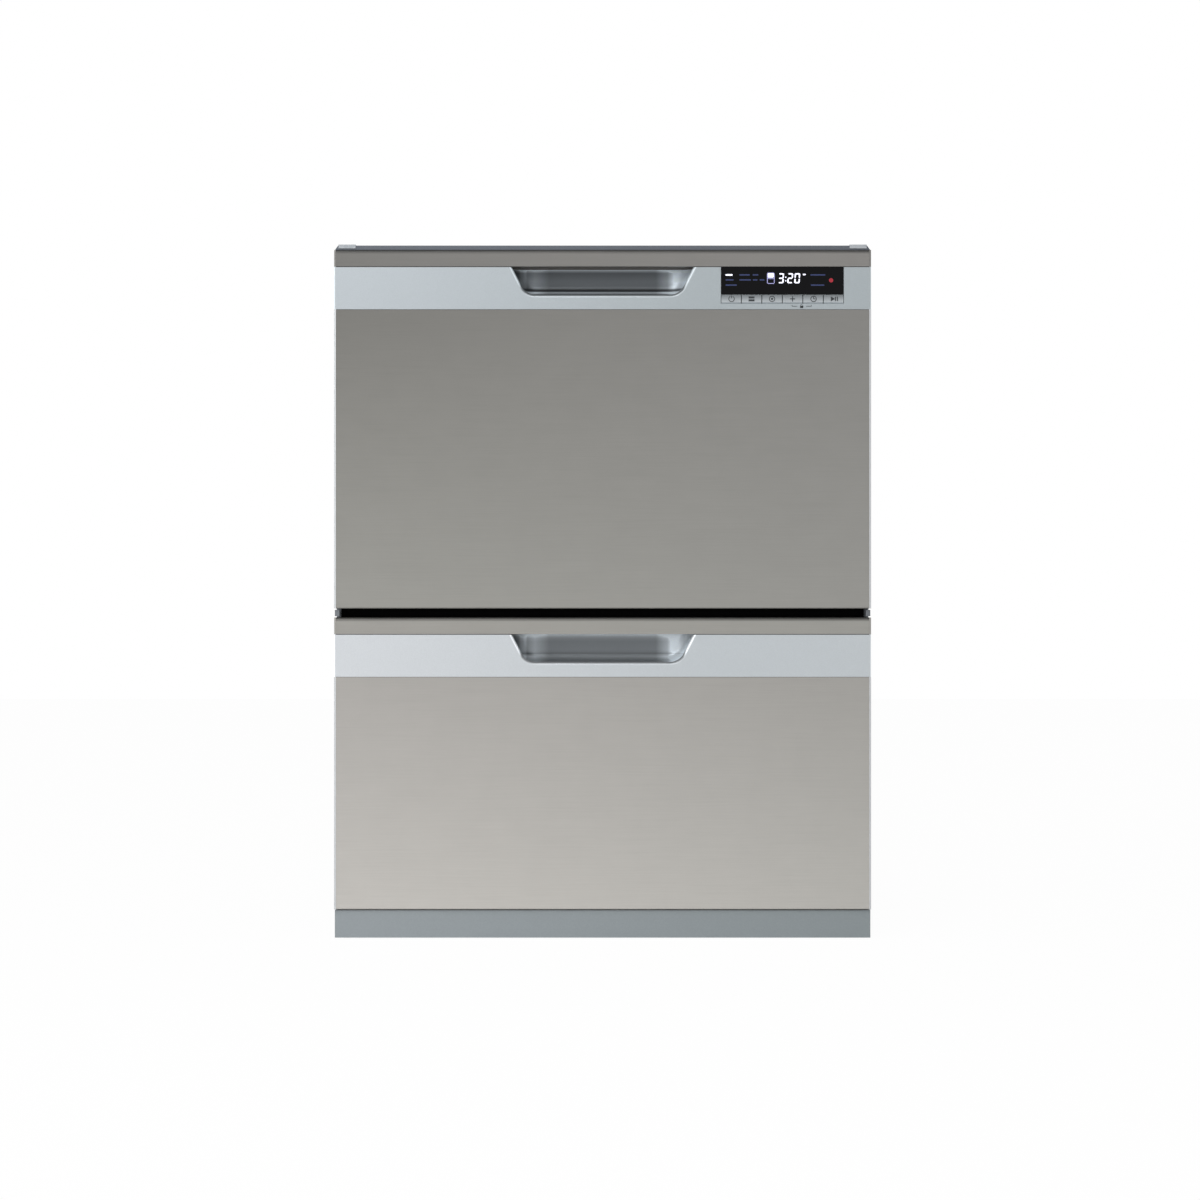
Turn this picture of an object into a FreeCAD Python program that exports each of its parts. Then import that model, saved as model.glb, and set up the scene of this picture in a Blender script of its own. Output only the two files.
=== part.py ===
import FreeCAD, Part

import math
import os

# A built-under dishwasher with two drawers. X points right, Y to the back and Z up.
# The origin lies on the floor, below the middle of the object. All sizes are in millimetres.

V = FreeCAD.Vector

# Overall size and the stack of heights, from the floor up
depth = 570.0
front_width = 598.0
chassis_reveal = 0.5
floor_gap = 1.2
kick_height = 30.6
kick_joint = 1.2
lower_front_height = 325.1
drawer_gap = 10.0
upper_front_height = 399.3
top_gap = 0.8
cap_height = 4.8

# Drawer fronts
sheet = 1.0
edge_strip = 2.0
strip_height = 18.4
strip_joint = 0.8
band_height = 46.9
panel_joint = 0.4
strip_bend = 3.0
panel_bend = 2.0
edge_round = 1.5
frame_depth = 23.0
frame_wall = 2.5
band_wall = 3.0
ledge_width = 8.0
ledge_wall = 2.0
sheet_play = 0.15
liner_flange = 1.5
liner_depth = 20.5
liner_wall = 2.0
liner_back_wall = 3.0
liner_margin = 5.0
liner_flange_margin = 1.5
liner_side_gap = 0.5

# Finger scoop in the handle band
scoop_width = 202.0
scoop_height = 30.2
scoop_slope = 27.0
scoop_corner = 17.0
scoop_depth = 30.0
scoop_rise = 8.8
scoop_lip = 3.6
scoop_back_round = 12.0
scoop_shell = 2.5
grip_height = 5.0
grip_depth = 5.0

# Display and buttons in the upper band
display_width = 137.0
display_height = 30.6
display_centre = 200.1
window_thickness = 3.0
window_play = 0.25
window_ledge = 3.4
bezel_wall = 5.0
bezel_border = 3.0
button_count = 6
button_pitch = 22.8
button_gap = 0.9
button_height = 9.7
button_play = 0.3
button_bevel = 1.2
button_flange = 1.5
button_lap = 2.0
button_seat = 0.2
button_travel = 1.0
stem_radius = 2.0
stem_length = 1.3
switch_size = 6.0
plunger_radius = 1.5
plunger_length = 1.6
board_thickness = 1.6
board_stand_off = 10.0
board_margin = 5.0
board_post_radius = 3.0

# Chassis
wall = 1.2
front_set_back = 26.0
side_flange = 5.0
stop_set_back = 4.0
stop_play = 1.5
rear_flange = 12.0
cap_bevel = 3.5
cap_front_set_back = 6.0
rear_face_set_back = 1.0
base_underside = 14.0
base_floor_height = 26.0
base_wall = 1.5
base_side_height = 6.0
base_front_set_back = 19.0
service_depth = 20.5
service_height = 62.5
rail_clearance = 2.0
rail_depth = 15.5
rail_wall = 1.5
kick_set_back = 4.0
kick_hem = 6.0
bracket_width = 19.0
bracket_length = 45.0
bracket_thickness = 1.0
bracket_lip = 4.3
bracket_inset = 4.0
bracket_hole_play = 1.0
bracket_hole_radius = 2.25
bracket_hole_back = 30.0
screw_count = 5
screw_inset = 7.2
screw_end_gap = 30.0
screw_radius = 1.9
screw_head_radius = 4.0
screw_hole_radius = 2.0
screw_shank = 4.0

# Levelling feet
foot_side_inset = 42.3
foot_front_inset = 51.0
foot_rear_inset = 37.3
foot_pad_radius = 20.0
foot_pad_height = 6.0
foot_pad_round = 1.5
foot_stem_radius = 5.0
foot_stem_length = 28.0
foot_collar_radius = 9.0
foot_boss_radius = 13.0
foot_boss_drop = 14.0
foot_play = 0.3

# Runners: three nested members on each side of each drawer
runner_width = 12.7
runner_height = 45.0
runner_sheet = 1.2
runner_play = 0.4
runner_rise = 30.0
runner_front_gap = 3.0
runner_back_gap = 4.0
runner_notch = 1.5
runner_lip = 8.9

# Tub
tub_back_gap = 53.0
tub_wall = 3.0
tub_floor = 4.0
tub_rise = 5.0
tub_corner = 20.0
pump_bay = 68.0
rim_drop = 29.4
rim_height = 4.0
rim_inside = 9.0
rim_outside = 5.4
rim_back = 6.0

# Lid over each tub
lid_side_gap = 12.3
lid_margin = 4.0
lid_height = 14.0
lid_skin = 3.0
lid_lift = 8.0
seal_width = 7.0
seal_height = 5.6
seal_gap = 0.4
seal_inset = 1.0
lid_pin_radius = 2.6
lid_pin_play = 1.3
lid_pin_y = 120.0
lifter_play = 2.0
lifter_length = 32.0
lifter_wall = 3.5
pin_play = 0.3

# Wash parts in the bottom of each tub
riser_radius = 12.0
spindle_radius = 8.0
spindle_height = 10.0
spindle_play = 0.3
arm_length = 410.0
arm_width = 38.0
arm_height = 12.0
arm_hub_radius = 22.0
arm_clearance = 14.0
arm_hub_rise = 3.0
arm_round = 4.0
nozzle_radius = 1.5
nozzle_count = 5
first_nozzle = 56.0
nozzle_pitch = 30.0
nozzle_offset = 7.6
nozzle_depth = 4.0
pump_radius = 75.0
pump_height = 24.0
pump_round = 8.0
motor_radius = 45.0
pump_ground = 6.0
outlet_radius = 9.0
outlet_x = 45.0
outlet_length = 140.0
plate_side_gap = 76.6
plate_front_gap = 47.0
plate_back_gap = 49.0
plate_thickness = 3.0
plate_corner = 30.0
plate_slot_count = 8
plate_slot_width = 3.0
plate_slot_length = 60.0
plate_slot_pitch = 10.0
plate_slots_front = -90.0
plate_slots_back = 60.0
filter_x = 120.0
filter_y = -120.0
filter_radius = 33.5
filter_play = 0.5
filter_flange = 4.0
filter_flange_height = 2.7
filter_depth = 20.0
filter_wall = 2.0
filter_grip_height = 5.0
filter_grip_length = 53.6
filter_grip_width = 6.0
well_play = 2.5
well_wall = 3.0
well_depth = 30.0

# Detergent dispenser on the front wall of each tub
dispenser_width = 160.0
dispenser_height = 90.0
dispenser_depth = 20.0
dispenser_corner = 6.0
dispenser_rise_upper = 150.0
dispenser_rise_lower = 118.0
cup_width = 60.0
cup_height = 56.0
cup_depth = 16.0
cup_left = 12.0
cover_width = 68.0
cover_height = 61.0
cover_thickness = 3.0
cover_play = 0.4
cover_rail = 4.5
cover_lip = 2.0
cover_rail_inset = 4.0
cover_rail_wall = 1.5
cover_ridge_width = 3.0
cover_ridge_height = 2.0

# Racks
rack_wire = 2.0
rack_side_gap = 27.6
rack_front_gap = 47.0
rack_back_gap = 25.0
rack_floor = 36.0
rack_bend = 20.0
rack_height_upper = 200.0
rack_height_lower = 150.0
rack_cross_wire_count = 8
rack_long_wire_count = 6
weld_overlap = 0.6
rack_seat_gap = 0.3
rack_post_x = 225.0
rack_post_y = 100.0
rack_post_length = 60.0
rack_post_width = 8.0
tine_radius = 1.6
tine_height = 85.0
tine_tip = 1.0
lower_tine_columns = [-165.0, -55.0, 55.0, 165.0]
upper_tine_columns = [-130.0, -30.0, 70.0]
shelf_height = 160.0
shelf_rod_inset = 10.0
shelf_reach = 114.0
shelf_front_gap = 58.0
shelf_back_gap = 44.0
shelf_bend = 12.0
shelf_rod = 2.5
shelf_bars = 6
shelf_play = 0.3
clip_size = 13.0
clip_length = 12.0
basket_side_gap = 20.0
basket_front_gap = 22.0
basket_width = 104.0
basket_length = 126.0
basket_height = 110.0
basket_wall = 1.6
basket_column_count = 2
basket_row_count = 2
basket_grip = 25.0
basket_grip_width = 12.0
basket_grip_height = 6.0
basket_corner = 8.0
basket_cell_corner = 6.0

# Water and mains connections
service_z = 52.0
valve_x = -190.0
valve_thread_radius = 13.2
valve_bore_radius = 9.0
valve_flange_half = 18.0
valve_flange = 8.0
valve_bore_depth = 3.0
thread_length = 11.0
solenoid_half = 14.0
solenoid_depth = 16.0
drain_x = 120.0
drain_radius = 9.5
drain_wall = 2.0
drain_bore_radius = 7.0
drain_flange_radius = 14.0
drain_flange = 3.0
drain_length = 16.0
inner_stub = 12.0
gland_x = 220.0
gland_radius = 10.0
gland_bore_radius = 4.2
gland_stem_radius = 7.0
gland_length = 9.0
gland_round = 2.0
gland_nut = 4.0
wall_hole_play = 0.3

# Faces that several pieces share
front_face = -depth / 2
back_face = depth / 2
frame_back = front_face + frame_depth
liner_back = frame_back + liner_flange + liner_depth
chassis_front = front_face + front_set_back
rear_face = back_face - rear_face_set_back
half_front = front_width / 2
half_chassis = half_front - chassis_reveal
inner_x = half_chassis - wall
tub_half = inner_x - runner_width
tub_back = back_face - tub_back_gap
service_y = rear_face - wall - service_depth
lid_half_width = inner_x - lid_side_gap
lifter_width = lid_side_gap - lifter_play
inside_x = tub_half - tub_wall
inside_front = liner_back + tub_wall
inside_back = tub_back - tub_wall
arm_centre_y = (inside_front + inside_back) / 2
rack_half_width = inside_x - rack_side_gap
rack_front_y = inside_front + rack_front_gap
rack_back_y = inside_back - rack_back_gap
shelf_x = shelf_rod_inset - rack_half_width
basket_x = rack_half_width - basket_side_gap - basket_width
basket_y = rack_front_y + basket_front_gap
kick_top = floor_gap + kick_height
cap_bottom = kick_top + kick_joint + lower_front_height + drawer_gap + upper_front_height + top_gap
cap_top = cap_bottom + cap_height
sheet_half = half_front - edge_strip - sheet_play
display_left = display_centre - display_width / 2
display_right = display_centre + display_width / 2


class Levels:
    """The heights of one drawer, worked out from the bottom edge of its front."""

    def __init__(self, name, bottom, front_height, rack_height, dispenser_rise):
        self.name = name
        self.bottom = bottom
        self.top = bottom + front_height
        self.strip_bottom = self.top - strip_height
        self.band_top = self.strip_bottom - strip_joint
        self.band_bottom = self.band_top - band_height
        self.skirt = bottom + tub_rise
        self.floor = self.skirt + pump_bay
        self.rim = self.top - rim_drop
        self.lid = self.rim + seal_gap + seal_height
        self.runner = self.skirt + runner_rise
        self.rack = self.floor + rack_floor
        self.rack_height = rack_height
        self.dispenser = self.floor + dispenser_rise


lower = Levels("lower", kick_top + kick_joint, lower_front_height, rack_height_lower, dispenser_rise_lower)
upper = Levels("upper", lower.top + drawer_gap, upper_front_height, rack_height_upper, dispenser_rise_upper)


def box(x0, x1, y0, y1, z0, z1):
    return Part.makeBox(x1 - x0, y1 - y0, z1 - z0, V(x0, y0, z0))


def both_sides(shape):
    return [shape, shape.mirror(V(0, 0, 0), V(1, 0, 0))]


def fuse(shapes):
    return shapes[0].multiFuse(shapes[1:]).removeSplitter()


def upright(radius, x, y, z0, z1):
    return Part.makeCylinder(radius, z1 - z0, V(x, y, z0))


def lengthwise(radius, x, z, y0, y1):
    return Part.makeCylinder(radius, y1 - y0, V(x, y0, z), V(0, 1, 0))


def crosswise(radius, y, z, x0, x1):
    return Part.makeCylinder(radius, x1 - x0, V(x0, y, z), V(1, 0, 0))


def is_line_along(edge, axis):
    if edge.Curve.TypeId != "Part::GeomLine":
        return False
    return abs(edge.tangentAt(edge.FirstParameter).dot(axis)) > 0.999


def slab(x0, x1, y0, y1, z0, z1, corner):
    """A block with its four upright edges rounded."""
    block = box(x0, x1, y0, y1, z0, z1)
    return block.makeFillet(corner, [e for e in block.Edges if is_line_along(e, V(0, 0, 1))])


def bent_path(points, radii, closed=False):
    """Straight runs through the points, joined by tangent arcs. Each corner has its own radius."""
    count = len(points)
    trimmed = []
    for i, point in enumerate(points):
        at_end = not closed and i in (0, count - 1)
        if at_end or not radii[i]:
            trimmed.append((point, point, None))
            continue
        back = (points[i - 1] - point).normalize()
        ahead = (points[(i + 1) % count] - point).normalize()
        half_angle = back.getAngle(ahead) / 2
        set_back = radii[i] / math.tan(half_angle)
        middle = (back + ahead).normalize() * (radii[i] / math.sin(half_angle) - radii[i])
        trimmed.append((point + back * set_back, point + ahead * set_back, point + middle))
    edges = []
    for i, (start, end, middle) in enumerate(trimmed):
        if middle:
            edges.append(Part.Arc(start, middle, end).toShape())
        if i < count - 1 or closed:
            edges.append(Part.LineSegment(end, trimmed[(i + 1) % count][0]).toShape())
    return Part.Wire(edges)


def wire_tube(points, bend, radius, closed=False):
    """A round wire bent along the points. A closed one starts on a straight run."""
    path = bent_path(points, [0] + [bend] * (len(points) - 1), closed)
    first = path.Edges[0]
    start = first.valueAt(first.FirstParameter)
    heading = first.tangentAt(first.FirstParameter)
    section = Part.Wire(Part.makeCircle(radius, start, heading))
    return path.makePipeShell([section], True, False)


def band_prism(points, radii, y0, y1):
    """A closed outline in the plane of the fronts, given as x and z pairs, extruded along Y."""
    outline = bent_path([V(x, y0, z) for x, z in points], radii, closed=True)
    return Part.Face(outline).extrude(V(0, y1 - y0, 0))


def scoop_block(levels, grow, rise, y0, y1, back_round):
    """The finger scoop as a solid: slanted ends, round lower corners and a rounded back."""
    slant = math.tan(math.radians(scoop_slope))
    side_grow = grow / math.cos(math.radians(scoop_slope))
    z0 = levels.band_top - scoop_height - grow
    z1 = levels.band_top + rise
    half_at_top = scoop_width / 2 + side_grow + (z1 - levels.band_top) * slant
    half_at_bottom = scoop_width / 2 + side_grow - (levels.band_top - z0) * slant
    points = [(-half_at_top, z1), (-half_at_bottom, z0), (half_at_bottom, z0), (half_at_top, z1)]
    corner = scoop_corner + grow
    block = band_prism(points, [0, corner, corner, 0], y0, y1)
    on_back = [e for e in block.Edges if abs(e.BoundBox.YMin - y1) < 0.01 and e.BoundBox.ZMin < z1 - 0.01]
    return block.makeFillet(back_round, on_back)


def scoop_space(levels):
    """The space for the fingers. Its mouth flares out to the face of the band by the lip radius."""
    high = 2 * scoop_height
    reach = scoop_width / 2 + high
    back = front_face + scoop_depth
    block = box(-reach, reach, front_face, back + 1, levels.band_bottom, levels.band_top + high)
    block = block.cut(scoop_block(levels, 0, high + 1, front_face - 1, back, scoop_back_round))
    mouth = [
        e
        for e in block.Edges
        if e.BoundBox.YMax < front_face + 0.01
        and abs(e.BoundBox.XMin) < reach - 1
        and abs(e.BoundBox.XMax) < reach - 1
    ]
    rounded = block.makeFillet(scoop_lip, mouth)
    top = levels.band_top + scoop_rise
    solid = box(-reach + 1, reach - 1, front_face, back + 0.5, levels.band_bottom + 1, top)
    return solid.cut(rounded)


def scooped_band(levels):
    """The handle band with the finger scoop moulded into it."""
    inner = half_front - edge_strip
    band = box(-inner, inner, front_face, front_face + band_wall, levels.band_bottom, levels.band_top)
    shell = scoop_block(
        levels,
        scoop_shell,
        scoop_rise + scoop_shell,
        front_face + sheet,
        front_face + scoop_depth + scoop_shell,
        scoop_back_round + scoop_shell,
    )
    return band.fuse(shell).cut(scoop_space(levels))


def front_frame(levels):
    """The silver frame: side edges, handle band with its scoop, and ledges behind the sheets."""
    inner = half_front - edge_strip
    ledge_front = front_face + sheet
    ledge_back = ledge_front + ledge_wall
    pieces = [scooped_band(levels)]
    edge = box(inner, half_front, front_face, frame_back, levels.bottom, levels.top)
    outer_edges = [
        e
        for e in edge.Edges
        if e.BoundBox.XMin > half_front - 0.01
        and e.BoundBox.YMax < front_face + 0.01
        and is_line_along(e, V(0, 0, 1))
    ]
    pieces += both_sides(edge.makeFillet(edge_round, outer_edges))
    side_ledge = box(
        inner - ledge_width,
        inner,
        ledge_front,
        ledge_back,
        levels.bottom + panel_bend,
        levels.top - strip_bend,
    )
    pieces += both_sides(side_ledge)
    below_band = box(
        -inner, inner, ledge_front, ledge_back, levels.band_bottom - ledge_width, levels.band_bottom
    )
    pieces.append(below_band)
    scoop_reach = scoop_width / 2 + scoop_shell
    above_band = box(
        scoop_reach, inner, ledge_front, ledge_back, levels.band_top, levels.strip_bottom + ledge_width
    )
    pieces += both_sides(above_band)
    pieces.append(
        box(
            -scoop_reach - ledge_width,
            scoop_reach + ledge_width,
            ledge_front,
            ledge_front + grip_depth,
            levels.strip_bottom,
            levels.strip_bottom + grip_height,
        )
    )
    for z, bend in ((levels.bottom + sheet, panel_bend), (levels.top - sheet - frame_wall, strip_bend)):
        pieces.append(box(-inner, inner, front_face + bend, frame_back, z, z + frame_wall))
    return pieces


def lower_front_frame():
    return fuse(front_frame(lower))


def upper_front_frame():
    """The upper frame also has the display seat, the button opening and posts for the board."""
    window_bottom = upper.band_top - display_height
    button_bottom = window_bottom - button_height
    bezel_back = front_face + bezel_wall
    bezel = box(
        display_left - bezel_border,
        display_right + bezel_border,
        front_face + sheet,
        bezel_back,
        button_bottom - bezel_border,
        upper.band_top,
    )
    window_seat = box(
        display_left,
        display_right,
        front_face - 1,
        front_face + window_thickness,
        window_bottom,
        upper.band_top + strip_joint / 2,
    )
    window_view = box(
        display_left + window_ledge,
        display_right - window_ledge,
        front_face - 1,
        bezel_back + 1,
        window_bottom + window_ledge,
        upper.band_top - window_ledge,
    )
    button_opening = box(
        display_left,
        display_right,
        front_face - 1,
        bezel_back + 1,
        button_bottom - button_play,
        window_bottom,
    )
    posts = [
        lengthwise(board_post_radius, x, z, bezel_back, bezel_back + board_stand_off)
        for x in (display_left - board_margin / 2 - 1, display_right + board_margin / 2 + 1)
        for z in (button_bottom, upper.band_top - board_margin)
    ]
    pads = [
        box(
            display_left - bezel_border - board_margin,
            display_right + bezel_border + board_margin,
            front_face + sheet,
            bezel_back,
            z - board_post_radius,
            z + board_post_radius,
        )
        for z in (button_bottom, upper.band_top - board_margin)
    ]
    frame = fuse(front_frame(upper) + [bezel] + pads + posts)
    return frame.cut([window_seat, window_view, button_opening])


def front_panel(levels):
    """The large stainless sheet with its lower edge bent back."""
    top = levels.band_bottom - panel_joint
    face = box(-sheet_half, sheet_half, front_face, front_face + sheet, levels.bottom, top)
    flange = box(
        -sheet_half, sheet_half, front_face, frame_back - 1, levels.bottom, levels.bottom + sheet
    )
    return bend_outer_edge(face.fuse(flange).removeSplitter(), levels.bottom, panel_bend)


def top_strip(levels):
    """The narrow stainless strip above the band, with its upper edge rolled back."""
    face = box(-sheet_half, sheet_half, front_face, front_face + sheet, levels.strip_bottom, levels.top)
    flange = box(-sheet_half, sheet_half, front_face, frame_back - 1, levels.top - sheet, levels.top)
    return bend_outer_edge(face.fuse(flange).removeSplitter(), levels.top, strip_bend)


def bend_outer_edge(shape, z, radius):
    """Rounds the long outer corner of a folded sheet, and the inner corner with it."""
    inner_z = z + sheet if shape.BoundBox.ZMin > z - 0.01 else z - sheet
    outer = [
        e
        for e in shape.Edges
        if is_line_along(e, V(1, 0, 0))
        and abs(e.BoundBox.YMin - front_face) < 0.01
        and abs(e.BoundBox.ZMin - z) < 0.01
    ]
    inner = [
        e
        for e in shape.Edges
        if is_line_along(e, V(1, 0, 0))
        and abs(e.BoundBox.YMin - front_face - sheet) < 0.01
        and abs(e.BoundBox.ZMin - inner_z) < 0.01
    ]
    return shape.makeFillet(radius, outer).makeFillet(radius - sheet, inner)


def inner_panel(levels):
    """The dark liner behind a front: a tray open to the front, with a flange on the back of the frame."""
    tray_half = tub_half - liner_side_gap
    flange = box(
        -half_front + liner_flange_margin,
        half_front - liner_flange_margin,
        frame_back,
        frame_back + liner_flange,
        levels.bottom + liner_flange_margin,
        levels.top - liner_flange_margin,
    )
    tray = box(
        -tray_half,
        tray_half,
        frame_back,
        liner_back,
        levels.bottom + liner_margin,
        levels.top - liner_margin,
    )
    hollow = box(
        -tray_half + liner_wall,
        tray_half - liner_wall,
        frame_back - 1,
        liner_back - liner_back_wall,
        levels.bottom + liner_margin + liner_wall,
        levels.top - liner_margin - liner_wall,
    )
    return flange.fuse(tray).cut(hollow).removeSplitter()


def display_window():
    bottom = upper.band_top - display_height + window_play
    return box(
        display_left + window_play,
        display_right - window_play,
        front_face,
        front_face + window_thickness,
        bottom,
        upper.band_top - window_play / 2,
    )


def button_centre(index):
    return display_left + (index + 0.5) * button_pitch + (display_width - button_count * button_pitch) / 2


def button(index):
    """A push button: a cap with a bevelled lower edge, a flange behind the band and a stem to its switch."""
    x = button_centre(index)
    half = (button_pitch - button_gap) / 2
    z1 = upper.band_top - display_height - button_play
    z0 = z1 - button_height + button_play
    back = front_face + bezel_wall + button_seat
    profile = [(front_face + button_bevel, z0), (back, z0), (back, z1), (front_face, z1)]
    profile.append((front_face, z0 + button_bevel))
    corners = [V(x - half, y, z) for y, z in profile]
    cap = Part.Face(Part.makePolygon(corners + corners[:1])).extrude(V(2 * half, 0, 0))
    flange = box(x - half, x + half, back, back + button_flange, z0 - button_lap, z1 + button_lap)
    middle = (z0 + z1) / 2
    stem = lengthwise(stem_radius, x, middle, back + button_flange, back + button_flange + stem_length)
    return fuse([cap, flange, stem])


def control_board():
    """The circuit board on its four posts, with the display module and one switch behind each button."""
    bezel_back = front_face + bezel_wall
    front = bezel_back + board_stand_off
    window_bottom = upper.band_top - display_height
    button_bottom = window_bottom - button_height
    pieces = [
        box(
            display_left - board_margin - bezel_border,
            display_right + board_margin + bezel_border,
            front,
            front + board_thickness,
            button_bottom - board_margin,
            upper.band_top + 1,
        )
    ]
    pieces.append(
        box(
            display_left + window_ledge,
            display_right - window_ledge,
            bezel_back + button_play,
            front,
            window_bottom + window_ledge,
            upper.band_top - window_ledge,
        )
    )
    middle = window_bottom - button_play - (button_height - button_play) / 2
    stem_end = bezel_back + button_seat + button_flange + stem_length
    plunger_front = stem_end + button_travel + button_seat
    for index in range(button_count):
        x = button_centre(index)
        half = switch_size / 2
        body_front = plunger_front + plunger_length
        pieces.append(box(x - half, x + half, body_front, front, middle - half, middle + half))
        pieces.append(lengthwise(plunger_radius, x, middle, plunger_front, front))
    return fuse(pieces)


def tub(levels):
    """The wash tub: walls that house the pump below the floor, a rim, a filter well and rack posts."""
    body = slab(-tub_half, tub_half, liner_back, tub_back, levels.skirt, levels.rim, tub_corner)
    rim = slab(
        -tub_half - rim_outside,
        tub_half + rim_outside,
        liner_back,
        tub_back + rim_back,
        levels.rim - rim_height,
        levels.rim,
        tub_corner,
    )
    inner_corner = tub_corner - tub_wall
    x = tub_half - tub_wall
    y0 = liner_back + tub_wall
    y1 = tub_back - tub_wall
    space = slab(-x, x, y0, y1, levels.floor, levels.rim - rim_height, inner_corner)
    mouth = slab(
        -x + rim_inside,
        x - rim_inside,
        y0 + rim_inside,
        y1 - rim_inside,
        levels.floor,
        levels.rim + 1,
        inner_corner,
    )
    bay = slab(-x, x, y0, y1, levels.skirt - 1, levels.floor - tub_floor, inner_corner)
    well_radius = filter_radius + well_play
    well_bottom = levels.floor - well_depth
    under_floor = levels.floor - tub_floor
    well = upright(well_radius + well_wall, filter_x, filter_y, well_bottom - well_wall, under_floor)
    well_space = upright(well_radius, filter_x, filter_y, well_bottom, levels.floor + 1)
    riser_hole = upright(
        riser_radius + spindle_play, 0, arm_centre_y, levels.floor - tub_floor - 1, levels.floor + 1
    )
    shell = body.fuse(rim).cut([space, mouth, bay])
    ribs = []
    for y in (-rack_post_y, rack_post_y):
        rib = box(
            rack_post_x - rack_post_width / 2,
            rack_post_x + rack_post_width / 2,
            y - rack_post_length / 2,
            y + rack_post_length / 2,
            levels.floor,
            levels.rack - rack_wire - rack_seat_gap,
        )
        ribs += both_sides(rib)
    return fuse([shell, well] + ribs).cut([well_space, riser_hole])


def runner_span():
    return chassis_front + runner_front_gap, tub_back - runner_back_gap


def runner_profile(levels, parts):
    """Boxes along the whole runner: each a span out from the chassis wall and a span of height."""
    y0, y1 = runner_span()
    pieces = [
        box(inner_x - x1, inner_x - x0, y0, y1, levels.runner + z0, levels.runner + z1)
        for x0, x1, z0, z1 in parts
    ]
    return fuse(pieces)


def runner_outer(levels):
    half = runner_height / 2
    return runner_profile(
        levels,
        [
            (0, runner_sheet, -half, half),
            (0, runner_lip, half - runner_sheet, half),
            (0, runner_lip, -half, -half + runner_sheet),
        ],
    )


def runner_middle(levels):
    half = runner_height / 2 - runner_sheet - runner_play
    web = (runner_width - runner_sheet) / 2
    x0 = runner_sheet + runner_play
    x1 = runner_width - runner_sheet - runner_play
    return runner_profile(
        levels,
        [
            (web, web + runner_sheet, -half, half),
            (x0, x1, half - runner_sheet, half),
            (x0, x1, -half, -half + runner_sheet),
        ],
    )


def runner_inner(levels):
    half = runner_height / 2 - 2 * (runner_sheet + runner_play)
    web = runner_width - runner_sheet
    x0 = (runner_width + runner_sheet) / 2 + runner_play
    return runner_profile(
        levels,
        [
            (web, runner_width, -half, half),
            (x0, runner_width, half - runner_sheet, half),
            (x0, runner_width, -half, -half + runner_sheet),
        ],
    )


def lid_ends():
    return liner_back + lid_margin, tub_back + lid_margin


def lid(levels):
    """The lid: a ribbed plate that hangs on four side pins."""
    y0, y1 = lid_ends()
    z0 = levels.lid
    z1 = z0 + lid_height
    plate = slab(-lid_half_width, lid_half_width, y0, y1, z0, z1, tub_corner / 2)
    hollow = slab(
        -lid_half_width + lid_skin,
        lid_half_width - lid_skin,
        y0 + lid_skin,
        y1 - lid_skin,
        z0 + lid_skin,
        z1 + 1,
        tub_corner / 2 - lid_skin,
    )
    ribs = [
        box(x - lid_skin / 2, x + lid_skin / 2, y0 + lid_skin / 2, y1 - lid_skin / 2, z0, z1)
        for x in (-lid_half_width / 2, 0, lid_half_width / 2)
    ]
    pins = []
    start = lid_half_width - lid_skin / 2
    for y in (-lid_pin_y, lid_pin_y):
        ribs.append(box(-start, start, y - lid_skin, y + lid_skin, z0, z1))
        pin = crosswise(lid_pin_radius, y, z0 + lid_height / 2, start, inner_x - lifter_wall - lid_pin_play)
        pins += both_sides(pin)
    return fuse([plate.cut(hollow)] + ribs + pins)


def lid_seal(levels):
    """The soft ring under the lid that meets the rim of the tub."""
    y0, y1 = lid_ends()
    x = lid_half_width - seal_inset
    y0 += seal_inset
    y1 = tub_back - seal_inset
    z0 = levels.rim + seal_gap
    ring = slab(-x, x, y0, y1, z0, levels.lid, tub_corner / 2)
    inside = slab(
        -x + seal_width,
        x - seal_width,
        y0 + seal_width,
        y1 - seal_width,
        z0 - 1,
        levels.lid + 1,
        tub_corner / 2 - seal_width / 2,
    )
    return ring.cut(inside)


def lid_lifters():
    """Eight lifter housings on the chassis walls, each with an upright slot for one lid pin."""
    pieces = []
    for levels in (lower, upper):
        pin_z = levels.lid + lid_height / 2
        half_slot = lid_pin_radius + pin_play
        for y in (-lid_pin_y, lid_pin_y):
            housing = box(
                inner_x - lifter_width,
                inner_x,
                y - lifter_length / 2,
                y + lifter_length / 2,
                pin_z - half_slot - lifter_wall,
                pin_z + lid_lift + half_slot + lifter_wall,
            )
            slot = box(
                inner_x - lifter_width - 1,
                inner_x - lifter_wall,
                y - half_slot,
                y + half_slot,
                pin_z - half_slot,
                pin_z + lid_lift + half_slot,
            )
            pieces += both_sides(housing.cut(slot))
    return Part.makeCompound(pieces)


def wash_pump(levels):
    """Motor and volute under the tub floor, with the riser that carries the spray arm."""
    under_floor = levels.floor - tub_floor
    shoulder = levels.floor + arm_clearance - spindle_play
    motor = upright(motor_radius, 0, arm_centre_y, levels.skirt + pump_ground, under_floor - pump_height)
    volute = upright(pump_radius, 0, arm_centre_y, under_floor - pump_height, under_floor)
    rim_edges = [e for e in volute.Edges if abs(e.BoundBox.ZMax - under_floor + pump_height) < 0.01]
    volute = volute.makeFillet(pump_round, rim_edges)
    riser = upright(riser_radius, 0, arm_centre_y, under_floor - 1, shoulder)
    spindle = upright(spindle_radius, 0, arm_centre_y, shoulder - 1, shoulder + spindle_height)
    outlet_end = arm_centre_y + outlet_length
    outlet = lengthwise(outlet_radius, outlet_x, under_floor - pump_height / 2, arm_centre_y, outlet_end)
    return fuse([motor, volute, riser, spindle, outlet])


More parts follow.
